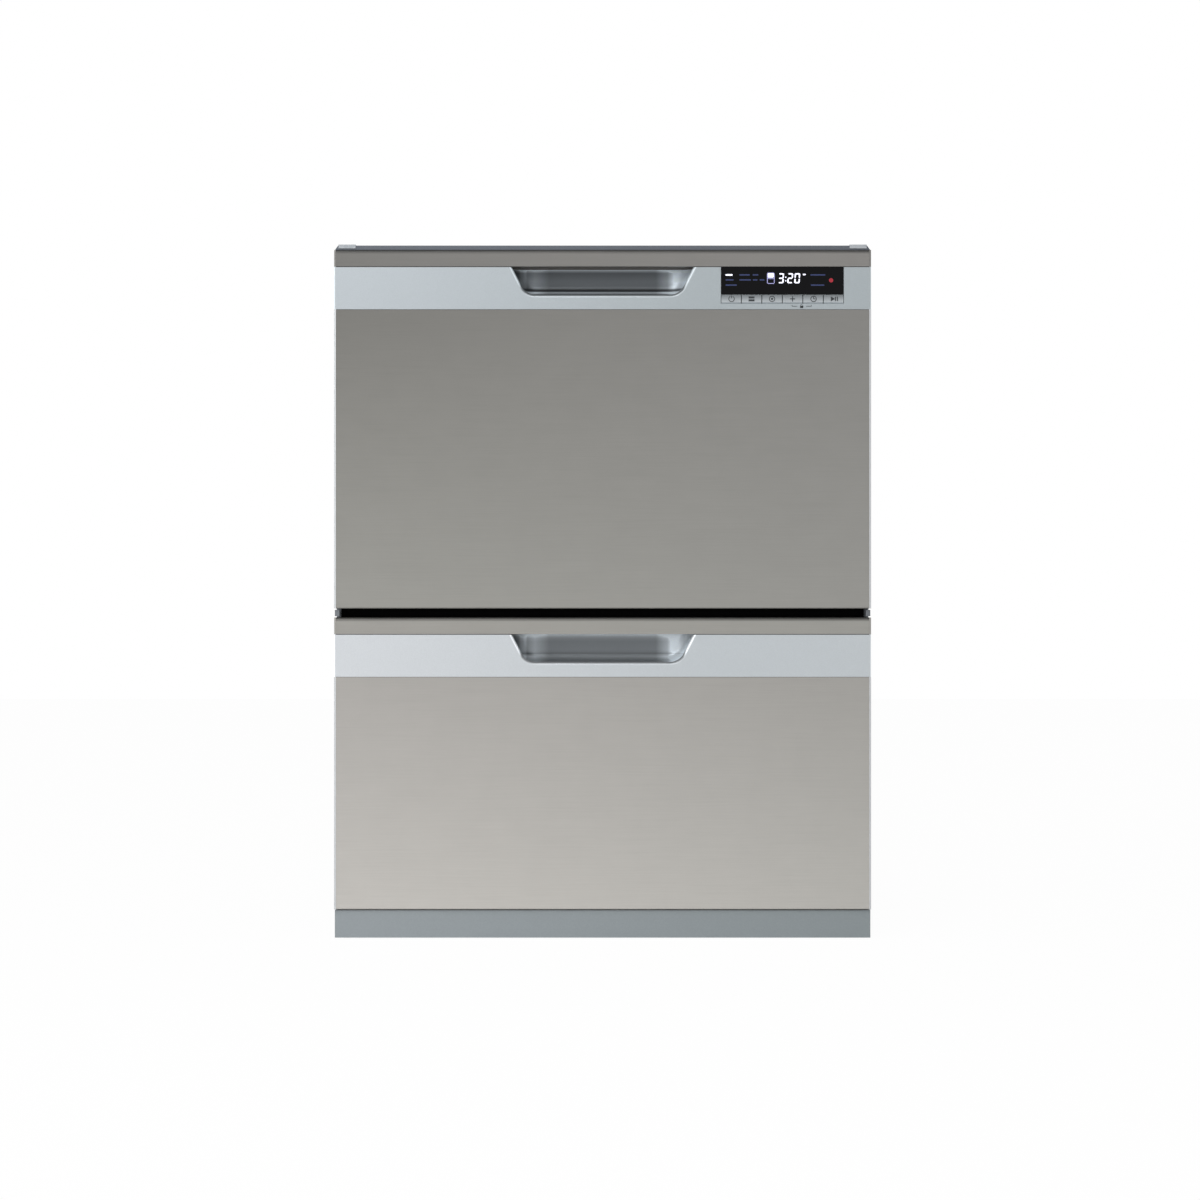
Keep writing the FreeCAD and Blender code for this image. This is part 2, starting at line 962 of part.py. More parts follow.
def spray_arm(levels):
    """A two-ended spray arm with a row of nozzles on each half."""
    z0 = levels.floor + arm_clearance
    z1 = z0 + arm_height
    end = arm_length / 2 - arm_width / 2
    y = arm_centre_y
    blade = fuse(
        [
            box(-end, end, y - arm_width / 2, y + arm_width / 2, z0, z1),
            upright(arm_width / 2, -end, y, z0, z1),
            upright(arm_width / 2, end, y, z0, z1),
        ]
    )
    top_edges = [e for e in blade.Edges if e.BoundBox.ZMin > z1 - 0.01]
    blade = blade.makeFillet(arm_round, top_edges)
    hub = upright(arm_hub_radius, 0, y, z0, z1 + arm_hub_rise)
    bore = upright(spindle_radius + spindle_play, 0, y, z0 - 1, z0 + spindle_height + spindle_play)
    nozzles = []
    for step in range(nozzle_count):
        reach = first_nozzle + nozzle_pitch * step
        for side in (-1, 1):
            nozzle_y = y + side * nozzle_offset
            nozzles.append(upright(nozzle_radius, side * reach, nozzle_y, z1 - nozzle_depth, z1 + 1))
    return blade.fuse(hub).cut([bore] + nozzles)


def filter_plate(levels):
    """The flat strainer on the tub floor, with slots either side of the pump."""
    z0 = levels.floor
    z1 = z0 + plate_thickness
    x = inside_x - plate_side_gap
    plate = slab(-x, x, inside_front + plate_front_gap, inside_back - plate_back_gap, z0, z1, plate_corner)
    holes = [
        upright(riser_radius + 1, 0, arm_centre_y, z0 - 1, z1 + 1),
        upright(filter_radius + filter_play, filter_x, filter_y, z0 - 1, z1 + 1),
    ]
    for index in range(plate_slot_count):
        x = (index - (plate_slot_count - 1) / 2) * plate_slot_pitch
        for y in (plate_slots_front, plate_slots_back):
            slot = box(
                x - plate_slot_width / 2,
                x + plate_slot_width / 2,
                y - plate_slot_length / 2,
                y + plate_slot_length / 2,
                z0 - 1,
                z1 + 1,
            )
            holes.append(slot)
    return plate.cut(holes)


def filter_cup(levels):
    """The round filter that twists out of the plate: a flange with a grip bar and a sieve below it."""
    seat = levels.floor + plate_thickness + filter_play / 2
    top = seat + filter_flange_height
    sieve = upright(filter_radius, filter_x, filter_y, levels.floor - filter_depth, top)
    inside = upright(filter_radius - filter_wall, filter_x, filter_y, levels.floor - filter_depth - 1, seat)
    flange = upright(filter_radius + filter_flange, filter_x, filter_y, seat, top)
    grip = box(
        filter_x - filter_grip_length / 2,
        filter_x + filter_grip_length / 2,
        filter_y - filter_grip_width / 2,
        filter_y + filter_grip_width / 2,
        top - 1,
        top + filter_grip_height,
    )
    return fuse([sieve.cut(inside), flange, grip])


def dispenser_body(levels):
    """The detergent dispenser: a block with one cup and two rails for its sliding cover."""
    y0 = inside_front
    y1 = y0 + dispenser_depth
    left = -dispenser_width / 2
    z = levels.dispenser
    block = box(left, -left, y0, y1, z - dispenser_height / 2, z + dispenser_height / 2)
    edges = [e for e in block.Edges if is_line_along(e, V(0, 1, 0))]
    block = block.makeFillet(dispenser_corner, edges)
    cup = box(
        left + cup_left,
        left + cup_left + cup_width,
        y1 - cup_depth,
        y1 + 1,
        z - cup_height / 2,
        z + cup_height / 2,
    )
    rail_x = dispenser_width / 2 - cover_rail_inset
    rail_z = cover_height / 2 + cover_play
    rail_y = y1 + cover_play + cover_thickness + cover_play
    rails = []
    for side in (-1, 1):
        low, high = sorted((z + side * rail_z, z + side * (rail_z + cover_rail)))
        lip_low, lip_high = sorted((z + side * (rail_z - cover_lip), z + side * (rail_z + cover_rail)))
        rails.append(box(-rail_x, rail_x, y1 - 1, rail_y + cover_rail_wall, low, high))
        rails.append(box(-rail_x, rail_x, rail_y, rail_y + cover_rail_wall, lip_low, lip_high))
    return fuse([block] + rails).cut(cup)


def dispenser_cover(levels):
    """The cover that slides sideways over the detergent cup, with a finger ridge."""
    y0 = inside_front + dispenser_depth + cover_play
    left = -dispenser_width / 2 + cup_left - (cover_width - cup_width) / 2
    z = levels.dispenser
    plate = box(
        left, left + cover_width, y0, y0 + cover_thickness, z - cover_height / 2, z + cover_height / 2
    )
    ridge = box(
        left + cover_width / 2 - cover_ridge_width / 2,
        left + cover_width / 2 + cover_ridge_width / 2,
        y0 + cover_thickness - 1,
        y0 + cover_thickness + cover_ridge_height,
        z - cup_height / 3,
        z + cup_height / 3,
    )
    return plate.fuse(ridge).removeSplitter()


def spread(start, end, count):
    return [start + (end - start) * i / (count - 1) for i in range(count)]


def rack(levels, tine_columns):
    """A welded wire basket: bent cross and long wires, two hoops round the outside and rows of tines."""
    z = levels.rack
    upper_z = z + 2 * rack_wire - weld_overlap
    top = z + levels.rack_height
    hoop = 2 * rack_wire - weld_overlap
    x = rack_half_width
    wires = []
    inset = rack_bend + 2 * rack_wire
    rows = spread(rack_front_y + inset, rack_back_y - inset, rack_cross_wire_count)
    for y in rows:
        wires.append(wire_tube([V(-x, y, top), V(-x, y, z), V(x, y, z), V(x, y, top)], rack_bend, rack_wire))
    for column in spread(-x + inset, x - inset, rack_long_wire_count):
        ends = [V(column, rack_front_y, top), V(column, rack_front_y, upper_z)]
        ends += [V(column, rack_back_y, upper_z), V(column, rack_back_y, top)]
        wires.append(wire_tube(ends, rack_bend, rack_wire))
    for level in (top - rack_wire, z + levels.rack_height / 2):
        y0 = rack_front_y - hoop
        y1 = rack_back_y + hoop
        middle = V(0, y0, level)
        corners = [V(x + hoop, y0, level), V(x + hoop, y1, level)]
        corners += [V(-x - hoop, y1, level), V(-x - hoop, y0, level)]
        wires.append(wire_tube([middle] + corners, rack_bend, rack_wire, closed=True))
    for y in rows:
        for column in tine_columns:
            tine = upright(tine_radius, column, y, z, z + tine_height)
            tip = [e for e in tine.Edges if e.BoundBox.ZMin > z + tine_height - 0.01]
            wires.append(tine.makeChamfer(tine_tip, tip))
    return wires


def lower_rack():
    return fuse(rack(lower, lower_tine_columns))


def upper_rack():
    """The upper rack also has two clips that hold the rod of the cup shelf."""
    pieces = rack(upper, upper_tine_columns)
    z = upper.floor + shelf_height
    bores = []
    for y in clip_places():
        clip = box(
            -rack_half_width - rack_wire / 2,
            shelf_x + clip_size / 2,
            y - clip_length / 2,
            y + clip_length / 2,
            z - clip_size / 2,
            z + clip_size / 2,
        )
        pieces.append(clip)
        bores.append(lengthwise(shelf_rod + shelf_play, shelf_x, z, y - clip_length, y + clip_length))
    return fuse(pieces).cut(bores)


def clip_places():
    inset = rack_bend + 2 * rack_wire
    rows = spread(rack_front_y + inset, rack_back_y - inset, rack_cross_wire_count)
    return rows[2], rows[-3]


def cup_shelf():
    """A wire shelf that folds up about its rod against the side of the rack."""
    z = upper.floor + shelf_height
    far = shelf_x + shelf_reach
    y0 = rack_front_y + shelf_front_gap
    y1 = rack_back_y - shelf_back_gap
    corners = [V(shelf_x, y0, z), V(far, y0, z), V(far, y1, z), V(shelf_x, y1, z)]
    middle = V(shelf_x, (y0 + y1) / 2, z)
    pieces = [wire_tube([middle] + corners, shelf_bend, shelf_rod, closed=True)]
    first, last = clip_places()
    gap = clip_length
    for y in spread(first + gap, last - gap, shelf_bars):
        pieces.append(crosswise(tine_radius, y, z, shelf_x, far))
    return fuse(pieces)


def cutlery_basket():
    """An open plastic basket with cells and a grip bar on its middle wall."""
    z0 = upper.rack + 3 * rack_wire - weld_overlap + rack_seat_gap
    z1 = z0 + basket_height
    x1 = basket_x + basket_width
    y1 = basket_y + basket_length
    outside = slab(basket_x, x1, basket_y, y1, z0, z1, basket_corner)
    cells = []
    cell_x = (basket_width - basket_wall) / basket_column_count
    cell_y = (basket_length - basket_wall) / basket_row_count
    for i in range(basket_column_count):
        for j in range(basket_row_count):
            left = basket_x + basket_wall + i * cell_x
            front = basket_y + basket_wall + j * cell_y
            cell = slab(
                left,
                left + cell_x - basket_wall,
                front,
                front + cell_y - basket_wall,
                z0 + basket_wall,
                z1 + 1,
                basket_cell_corner,
            )
            cells.append(cell)
    middle = basket_x + basket_width / 2
    wall_up = box(
        middle - basket_wall / 2,
        middle + basket_wall / 2,
        basket_y + cell_y,
        y1 - cell_y,
        z1 - 1,
        z1 + basket_grip,
    )
    bar = box(
        middle - basket_grip_width / 2,
        middle + basket_grip_width / 2,
        basket_y + cell_y,
        y1 - cell_y,
        z1 + basket_grip - basket_grip_height,
        z1 + basket_grip,
    )
    return fuse([outside.cut(cells), wall_up, bar])


def kick_strip():
    """The folded strip below the lower drawer."""
    y0 = front_face + kick_set_back
    y1 = front_face + base_front_set_back
    outside = box(-half_chassis, half_chassis, y0, y1, floor_gap, kick_top)
    inside = box(-inner_x, inner_x, y0 + wall, y1 + 1, floor_gap + wall, kick_top - wall)
    below = box(-inner_x, inner_x, y0 + kick_hem, y1 + 1, floor_gap - 1, kick_top - wall)
    return outside.cut([inside, below]).removeSplitter()


def foot_places():
    x = inner_x - foot_side_inset
    front_y = front_face + base_front_set_back + foot_front_inset
    rear_y = service_y - foot_rear_inset
    return {
        "front_left": (-x, front_y),
        "front_right": (x, front_y),
        "rear_left": (-x, rear_y),
        "rear_right": (x, rear_y),
    }


def levelling_foot(x, y):
    """A round pad with a threaded stem, and a collar that stops under the base."""
    pad = upright(foot_pad_radius, x, y, 0, foot_pad_height)
    pad = pad.makeFillet(foot_pad_round, [e for e in pad.Edges if e.BoundBox.ZMin > foot_pad_height - 0.01])
    boss_bottom = base_floor_height - foot_boss_drop
    collar = upright(foot_collar_radius, x, y, foot_pad_height - 1, boss_bottom - foot_play)
    stem = upright(foot_stem_radius, x, y, foot_pad_height, foot_pad_height + foot_stem_length)
    return fuse([pad, collar, stem])


def chassis_base():
    """The folded base tray, with bosses for the feet and a raised back wall for the connections."""
    y0 = front_face + base_front_set_back
    y1 = service_y
    floor_top = base_floor_height + base_wall
    pieces = [box(-inner_x, inner_x, y0, y1 + base_wall, base_floor_height, floor_top)]
    pieces.append(box(-inner_x, inner_x, y0, y0 + base_wall, base_underside, kick_top))
    side = box(inner_x - base_wall, inner_x, y0, y1, base_underside, floor_top + base_side_height)
    side = side.cut(box(0, inner_x + 1, y0 - 1, chassis_front, kick_top, floor_top + base_side_height + 1))
    pieces += both_sides(side)
    shelf_z = floor_top + service_height
    pieces.append(box(-inner_x, inner_x, y1, y1 + base_wall, base_floor_height, shelf_z))
    pieces.append(box(-inner_x, inner_x, y1, rear_face - wall, shelf_z - base_wall, shelf_z))
    for x, y in foot_places().values():
        pieces.append(upright(foot_boss_radius, x, y, base_floor_height - foot_boss_drop, floor_top))
    tray = fuse(pieces)
    holes = [
        upright(foot_stem_radius + foot_play, x, y, 0, floor_top + 1) for x, y in foot_places().values()
    ]
    for x, radius in (
        (valve_x, valve_bore_radius),
        (drain_x, drain_bore_radius + drain_wall),
        (gland_x, gland_stem_radius),
    ):
        holes.append(lengthwise(radius + wall_hole_play, x, service_z, y1 - 1, y1 + base_wall + 1))
    return tray.cut(holes)


def side_panel():
    """The right-hand side panel with front and rear returns and a stop between the drawer fronts."""
    z0 = base_underside
    panel = box(inner_x, half_chassis, chassis_front, rear_face - wall, z0, cap_bottom)
    front = box(half_chassis - side_flange, inner_x, chassis_front, chassis_front + wall, z0, cap_bottom)
    notches = [(z0 - 1, base_floor_height + base_wall + base_side_height)]
    for levels in (lower, upper):
        reach = runner_height / 2 + runner_notch
        notches.append((levels.runner - reach, levels.runner + reach))
    front = front.cut(
        [box(0, inner_x, chassis_front - 1, chassis_front + wall + 1, low, high) for low, high in notches]
    )
    shelf_z = base_floor_height + base_wall + service_height
    rear_y = rear_face - 2 * wall
    rear = box(half_chassis - rear_flange, inner_x, rear_y, rear_y + wall, shelf_z, cap_bottom)
    stop_y = front_face + stop_set_back
    low, high = lower.top + stop_play, upper.bottom - stop_play
    stop = box(inner_x, half_chassis, stop_y, chassis_front, low, high)
    stop_face = box(half_chassis - side_flange, inner_x, stop_y, stop_y + wall, low, high)
    body = fuse([panel, front, rear, stop, stop_face])
    return body.cut([screw_hole(x, z) for x, z in screw_places() if x > 0])


def screw_places():
    shelf_z = base_floor_height + base_wall + service_height
    x = half_chassis - screw_inset
    heights = spread(shelf_z + screw_end_gap, cap_bottom - screw_end_gap, screw_count)
    return [(side * x, z) for side in (-1, 1) for z in heights]


def screw_hole(x, z):
    return lengthwise(screw_hole_radius, x, z, rear_face - 2 * wall - 1, rear_face + 1)


def chassis_rear():
    shelf_z = base_floor_height + base_wall + service_height
    panel = box(-half_chassis, half_chassis, rear_face - wall, rear_face, shelf_z - base_wall, cap_bottom)
    return panel.cut([screw_hole(x, z) for x, z in screw_places()])


def chassis_screws():
    screws = []
    for x, z in screw_places():
        head = lengthwise(screw_head_radius, x, z, rear_face, back_face)
        shank = lengthwise(screw_radius, x, z, rear_face - screw_shank, rear_face + 0.5)
        screws.append(head.fuse(shank).removeSplitter())
    return Part.makeCompound(screws)


def cap_outline(inset, z0, z1):
    flat = half_chassis - cap_bevel - inset * 0.6
    edge = half_chassis - inset * 1.2
    return [(-edge, z0), (-flat, z1), (flat, z1), (edge, z0)]


def bracket_holes():
    y = front_face + cap_front_set_back + bracket_hole_back
    x = half_chassis - bracket_inset - bracket_width / 2
    return [(-x, y), (x, y)]


def chassis_top():
    """The top panel, folded down on all sides, with bevelled side edges."""
    y0 = front_face + cap_front_set_back
    outside = band_prism(cap_outline(0, cap_bottom, cap_top), [0] * 4, y0, rear_face)
    hollow = cap_outline(wall, cap_bottom - 0.01, cap_top - wall)
    inside = band_prism(hollow, [0] * 4, y0 + wall, rear_face - wall)
    radius = bracket_hole_radius + bracket_hole_play
    holes = [upright(radius, x, y, cap_bottom, cap_top + 1) for x, y in bracket_holes()]
    return outside.cut([inside] + holes)


def worktop_brackets():
    """Two tabs on the front corners of the top panel that screw up into a worktop."""
    y0 = front_face + cap_front_set_back
    x1 = half_chassis - bracket_inset
    x0 = x1 - bracket_width
    plate = box(x0, x1, y0, y0 + bracket_length, cap_top, cap_top + bracket_thickness)
    lip = box(
        x0,
        x1,
        y0 - bracket_thickness,
        y0,
        cap_top + bracket_thickness - bracket_lip,
        cap_top + bracket_thickness,
    )
    x, y = bracket_holes()[1]
    hole = upright(bracket_hole_radius, x, y, cap_top - 1, cap_top + bracket_thickness + 1)
    return Part.makeCompound(both_sides(plate.fuse(lip).removeSplitter().cut(hole)))


def middle_rail():
    """The dark cross rail behind the gap between the drawers, a channel open to the back."""
    z0 = lower.top - liner_margin + rail_clearance
    z1 = upper.bottom + liner_margin - rail_clearance
    y0 = chassis_front + wall
    y1 = y0 + rail_depth
    outside = box(-inner_x, inner_x, y0, y1, z0, z1)
    inside = box(-inner_x - 1, inner_x + 1, y0 + rail_wall, y1 + 1, z0 + rail_wall, z1 - rail_wall)
    return outside.cut(inside)


def inlet_valve():
    """The water inlet valve: thread behind, flange on the base wall and solenoid body in front of it."""
    y = service_y + base_wall
    half = valve_flange_half
    flange = box(valve_x - half, valve_x + half, y, y + valve_flange, service_z - half, service_z + half)
    start = y + valve_flange
    thread = lengthwise(valve_thread_radius, valve_x, service_z, start, start + thread_length)
    neck = lengthwise(valve_bore_radius, valve_x, service_z, service_y - 1, y + 1)
    body = box(
        valve_x - solenoid_half,
        valve_x + solenoid_half,
        service_y - solenoid_depth,
        service_y,
        service_z - solenoid_half,
        service_z + solenoid_half,
    )
    mouth = lengthwise(
        valve_bore_radius,
        valve_x,
        service_z,
        y + valve_flange - valve_bore_depth,
        y + valve_flange + thread_length + 1,
    )
    return fuse([flange, thread, neck, body]).cut(mouth)


def drain_spigot():
    """The drain outlet: a plain pipe for a clamped hose, through the back wall of the base."""
    y = service_y + base_wall
    flange = lengthwise(drain_flange_radius, drain_x, service_z, y, y + drain_flange)
    pipe = lengthwise(drain_radius, drain_x, service_z, y + drain_flange, y + drain_flange + drain_length)
    stub = lengthwise(drain_bore_radius + drain_wall, drain_x, service_z, service_y - inner_stub, y + 1)
    end = y + drain_flange + drain_length
    bore = lengthwise(drain_bore_radius, drain_x, service_z, service_y - inner_stub - 1, end + 1)
    return fuse([flange, pipe, stub]).cut(bore)


def cord_gland():
    """The strain relief in the back wall of the base, for the mains cord."""
    y = service_y + base_wall
    head = lengthwise(gland_radius, gland_x, service_z, y, y + gland_length)
    end_edges = [e for e in head.Edges if e.BoundBox.YMin > y + gland_length - 0.01]
    head = head.makeFillet(gland_round, end_edges)
    stem = lengthwise(gland_stem_radius, gland_x, service_z, service_y - inner_stub, y + 1)
    nut = lengthwise(gland_radius, gland_x, service_z, service_y - gland_nut, service_y)
    start = service_y - inner_stub - 1
    bore = lengthwise(gland_bore_radius, gland_x, service_z, start, y + gland_length + 1)
    return fuse([head, stem, nut]).cut(bore)


def runner_pair(member, levels):
    return Part.makeCompound(both_sides(member(levels)))


button_names = ["power", "wash", "program", "function", "delay", "start"]

nodes = {
    "chassis_base": chassis_base(),
    "chassis_side_left": both_sides(side_panel())[1],
    "chassis_side_right": side_panel(),
    "chassis_top": chassis_top(),
    "chassis_rear": chassis_rear(),
    "chassis_middle_rail": middle_rail(),
    "chassis_screws": chassis_screws(),
    "kick_strip": kick_strip(),
    "worktop_brackets": worktop_brackets(),
    "lid_lifters": lid_lifters(),
    "water_inlet_valve": inlet_valve(),
    "drain_spigot": drain_spigot(),
    "cord_gland": cord_gland(),
    "runner_outers": Part.makeCompound(both_sides(runner_outer(lower)) + both_sides(runner_outer(upper))),
    "upper_front_frame": upper_front_frame(),
    "lower_front_frame": lower_front_frame(),
    "display_window": display_window(),
    "control_board": control_board(),
    "upper_rack": upper_rack(),
    "lower_rack": lower_rack(),
    "upper_cup_shelf": cup_shelf(),
    "upper_cutlery_basket": cutlery_basket(),
}
for place, (foot_at_x, foot_at_y) in foot_places().items():
    nodes[f"levelling_foot_{place}"] = levelling_foot(foot_at_x, foot_at_y)
for index, name in enumerate(button_names):
    nodes[f"button_{name}"] = button(index)
for levels in (upper, lower):
    nodes[f"{levels.name}_lid"] = lid(levels)
    nodes[f"{levels.name}_lid_seal"] = lid_seal(levels)
    nodes[f"{levels.name}_runner_middles"] = runner_pair(runner_middle, levels)
    nodes[f"{levels.name}_runner_inners"] = runner_pair(runner_inner, levels)
    nodes[f"{levels.name}_front_panel"] = front_panel(levels)
    nodes[f"{levels.name}_top_strip"] = top_strip(levels)
    nodes[f"{levels.name}_inner_panel"] = inner_panel(levels)
    nodes[f"{levels.name}_tub"] = tub(levels)
    nodes[f"{levels.name}_wash_pump"] = wash_pump(levels)
    nodes[f"{levels.name}_spray_arm"] = spray_arm(levels)
    nodes[f"{levels.name}_filter_plate"] = filter_plate(levels)
    nodes[f"{levels.name}_filter_cup"] = filter_cup(levels)
    nodes[f"{levels.name}_dispenser_body"] = dispenser_body(levels)
    nodes[f"{levels.name}_dispenser_cover"] = dispenser_cover(levels)

os.makedirs("parts", exist_ok=True)
for name, shape in nodes.items():
    state = "valid" if shape.isValid() else "NOT VALID"
    print(name, len(shape.Solids), round(shape.Volume / 1000, 1), "cm3", state)
    shape.exportStep(f"parts/{name}.step")
print(len(nodes), "nodes")
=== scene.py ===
import math

import bpy
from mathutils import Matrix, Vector


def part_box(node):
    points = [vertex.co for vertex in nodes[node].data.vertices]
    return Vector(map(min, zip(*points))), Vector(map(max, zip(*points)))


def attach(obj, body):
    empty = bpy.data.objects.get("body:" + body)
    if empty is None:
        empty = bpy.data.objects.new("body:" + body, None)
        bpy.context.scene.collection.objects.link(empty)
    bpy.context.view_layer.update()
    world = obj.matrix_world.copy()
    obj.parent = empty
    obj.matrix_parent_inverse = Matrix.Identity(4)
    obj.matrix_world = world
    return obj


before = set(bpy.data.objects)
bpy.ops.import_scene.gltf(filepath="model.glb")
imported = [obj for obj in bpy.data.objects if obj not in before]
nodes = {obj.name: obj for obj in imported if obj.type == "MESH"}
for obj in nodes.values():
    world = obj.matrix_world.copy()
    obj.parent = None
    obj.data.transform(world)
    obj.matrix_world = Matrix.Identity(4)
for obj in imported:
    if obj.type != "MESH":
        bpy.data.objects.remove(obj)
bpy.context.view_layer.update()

mm = 0.001
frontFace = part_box("display_window")[0].y
halfWidth = 299 * mm  # half the width over which the fronts' painted light and shade run from left to right
noiseSpan = (0.3, 0.7)  # nearly all values of a noise texture lie between these
print("frame loaded,", len(nodes), "nodes")


def deselect():
    bpy.ops.object.select_all(action="DESELECT")


def toLinear(code):
    # sRGB hex to the linear colour that a shader takes
    channels = [int(code[i : i + 2], 16) / 255 for i in (0, 2, 4)]
    return [c / 12.92 if c <= 0.04045 else ((c + 0.055) / 1.055) ** 2.4 for c in channels] + [1.0]


def addNode(tree, kind, settings):
    # one node: a key is a property or a socket, and a (node, output) pair as its value is a link
    node = tree.nodes.new(kind)
    for key, value in settings.items():
        if isinstance(key, str) and hasattr(node, key):
            setattr(node, key, value)
        elif isinstance(value, tuple) and isinstance(value[0], bpy.types.Node):
            tree.links.new(value[0].outputs[value[1]], node.inputs[key])
        else:
            node.inputs[key].default_value = value
    return node


# the helpers below give the (node, output) pair that a socket takes


def mathNode(tree, operation, *values):
    return addNode(tree, "ShaderNodeMath", {"operation": operation, **dict(enumerate(values))}), 0


def mapRange(tree, value, low=0.0, high=1.0, start=0.0, end=1.0):
    return addNode(tree, "ShaderNodeMapRange", {0: value, 1: low, 2: high, 3: start, 4: end}), 0


def mixColours(tree, share, first, second):
    return addNode(tree, "ShaderNodeMix", {"data_type": "RGBA", 0: share, 6: first, 7: second}), 2


def mixCodes(tree, share, codes):
    # the same from two sRGB codes
    return mixColours(tree, share, *[toLinear(code) for code in codes])


def scaleColour(tree, colour, tone):
    return addNode(tree, "ShaderNodeVectorMath", {"operation": "SCALE", 0: colour, 3: tone}), 0


def noiseTexture(tree, place, scale, detail=2.0, roughness=0.5):
    sockets = {"Scale": scale, "Detail": detail, "Roughness": roughness}
    return addNode(tree, "ShaderNodeTexNoise", {0: place, **sockets}), 0


def bumpFrom(tree, height, strength, distance):
    return addNode(tree, "ShaderNodeBump", {"Strength": strength, "Distance": distance, "Height": height}), 0


def axes(tree, place):
    split = addNode(tree, "ShaderNodeSeparateXYZ", {0: place})
    return [(split, axis) for axis in "XYZ"]


def toneRamp(tree, value, stops):
    # a tone along one direction, from stops that each give a place in mm and a tone
    first, last = stops[0][0], stops[-1][0]
    mostTone = 8  # a ramp's colours end at 1, so it holds its tones as shares of this
    ramp = addNode(tree, "ShaderNodeValToRGB", {0: mapRange(tree, value, first * mm, last * mm)})
    for index, (spot, tone) in enumerate(stops):
        share = (spot - first) / (last - first)
        mark = ramp.color_ramp.elements[index] if index < 2 else ramp.color_ramp.elements.new(share)
        mark.position = share
        mark.color = (tone / mostTone, tone / mostTone, tone / mostTone, 1)
    return mathNode(tree, "MULTIPLY", (ramp, 0), mostTone)


def startMaterial(name, metallic, **sockets):
    # its shader with fixed values, and the object's own coordinates for its textures
    # an underscore in a socket's name stands for a space, here and in feed
    material = bpy.data.materials.new(name)
    material.use_nodes = True
    tree = material.node_tree
    shader = tree.nodes["Principled BSDF"]
    for key, value in {"Metallic": metallic, **sockets}.items():
        shader.inputs[key.replace("_", " ")].default_value = value
    return material, tree, shader, (addNode(tree, "ShaderNodeTexCoord", {}), "Object")


def feed(tree, shader, **links):
    for key, (source, output) in links.items():
        tree.links.new(source.outputs[output], shader.inputs[key.replace("_", " ")])


# stainless sheet: 304 sheet with a horizontal brushed finish, a soft satin that streaks along X
stainless = {
    "metallic": 0.55,
    "grainLength": 90 * mm,
    "grainWidth": 1.1 * mm,  # real brush lines are 0.1 mm, drawn as coarse as the render shows
    "grainTones": (0.955, 1.035),
    "grainBump": (0.12, 0.1 * mm),
    "mottle": 25 * mm,
    "mottleTones": (0.99, 1.01),
    "roughness": (0.36, 0.5),
    "rollDepth": (2.5 * mm, 5 * mm),  # how far behind the face a strip's rolled edge lies
    "rollTop": (4.4 * mm, 1.8 * mm),  # how far below its top the roll begins and ends
}
# each sheet's painted light: its tones at its top left, top right, low left and low right, lighter or darker
# as the light falls on it, and the tone of the painted shade on its rolled edge
sheets = {
    "stainlessUpperPanel": ("upper_front_panel", ("71706c", "7e7d7a"), ("989792", "94938f"), 1.0),
    "stainlessLowerPanel": ("lower_front_panel", ("aaa7a3", "a09e9a"), ("c4c1bc", "b6b4af"), 1.0),
    "stainlessUpperStrip": ("upper_top_strip", ("6f6e6b", "7f7d7a"), ("6f6e6b", "7f7d7a"), 0.2),
    "stainlessLowerStrip": ("lower_top_strip", ("9c9a95", "989792"), ("9c9a95", "989792"), 0.17),
}


def brushedStainless(name, node, upperCodes, lowerCodes, rollShade):
    foot, top = [corner.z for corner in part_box(node)]
    material, tree, shader, place = startMaterial(name, stainless["metallic"])
    x, y, z = axes(tree, place)
    # painted light: the sheet's tone runs between its four corners as the light falls on it
    across = mapRange(tree, x, -halfWidth, halfWidth)
    up = mapRange(tree, z, foot, top)
    sheet = mixColours(tree, up, mixCodes(tree, across, lowerCodes), mixCodes(tree, across, upperCodes))

    # brush lines stretched along X, over a faint mottle
    scale = (1 / stainless["grainLength"], 1 / stainless["grainWidth"], 1 / stainless["grainWidth"])
    stretched = addNode(tree, "ShaderNodeMapping", {"Scale": scale, 0: place}), 0
    grain = noiseTexture(tree, stretched, 1.0, detail=3.0, roughness=0.7)
    mottle = noiseTexture(tree, place, 1 / stainless["mottle"])
    lines = mapRange(tree, grain, *noiseSpan, *stainless["grainTones"])
    cloud = mapRange(tree, mottle, *noiseSpan, *stainless["mottleTones"])
    tone = mathNode(tree, "MULTIPLY", lines, cloud)

    # painted shade on the rolled top edge, which faces away from the light
    behind = mapRange(tree, y, *[frontFace + depth for depth in stainless["rollDepth"]], rollShade, 1.0)
    edge = mapRange(tree, z, *[top - drop for drop in stainless["rollTop"]], 1.0, behind)
    tone = mathNode(tree, "MULTIPLY", tone, edge)
    dull = mapRange(tree, grain, *noiseSpan, *stainless["roughness"])
    bump = bumpFrom(tree, grain, *stainless["grainBump"])
    feed(tree, shader, Base_Color=scaleColour(tree, sheet, tone), Roughness=dull, Normal=bump)
    return material


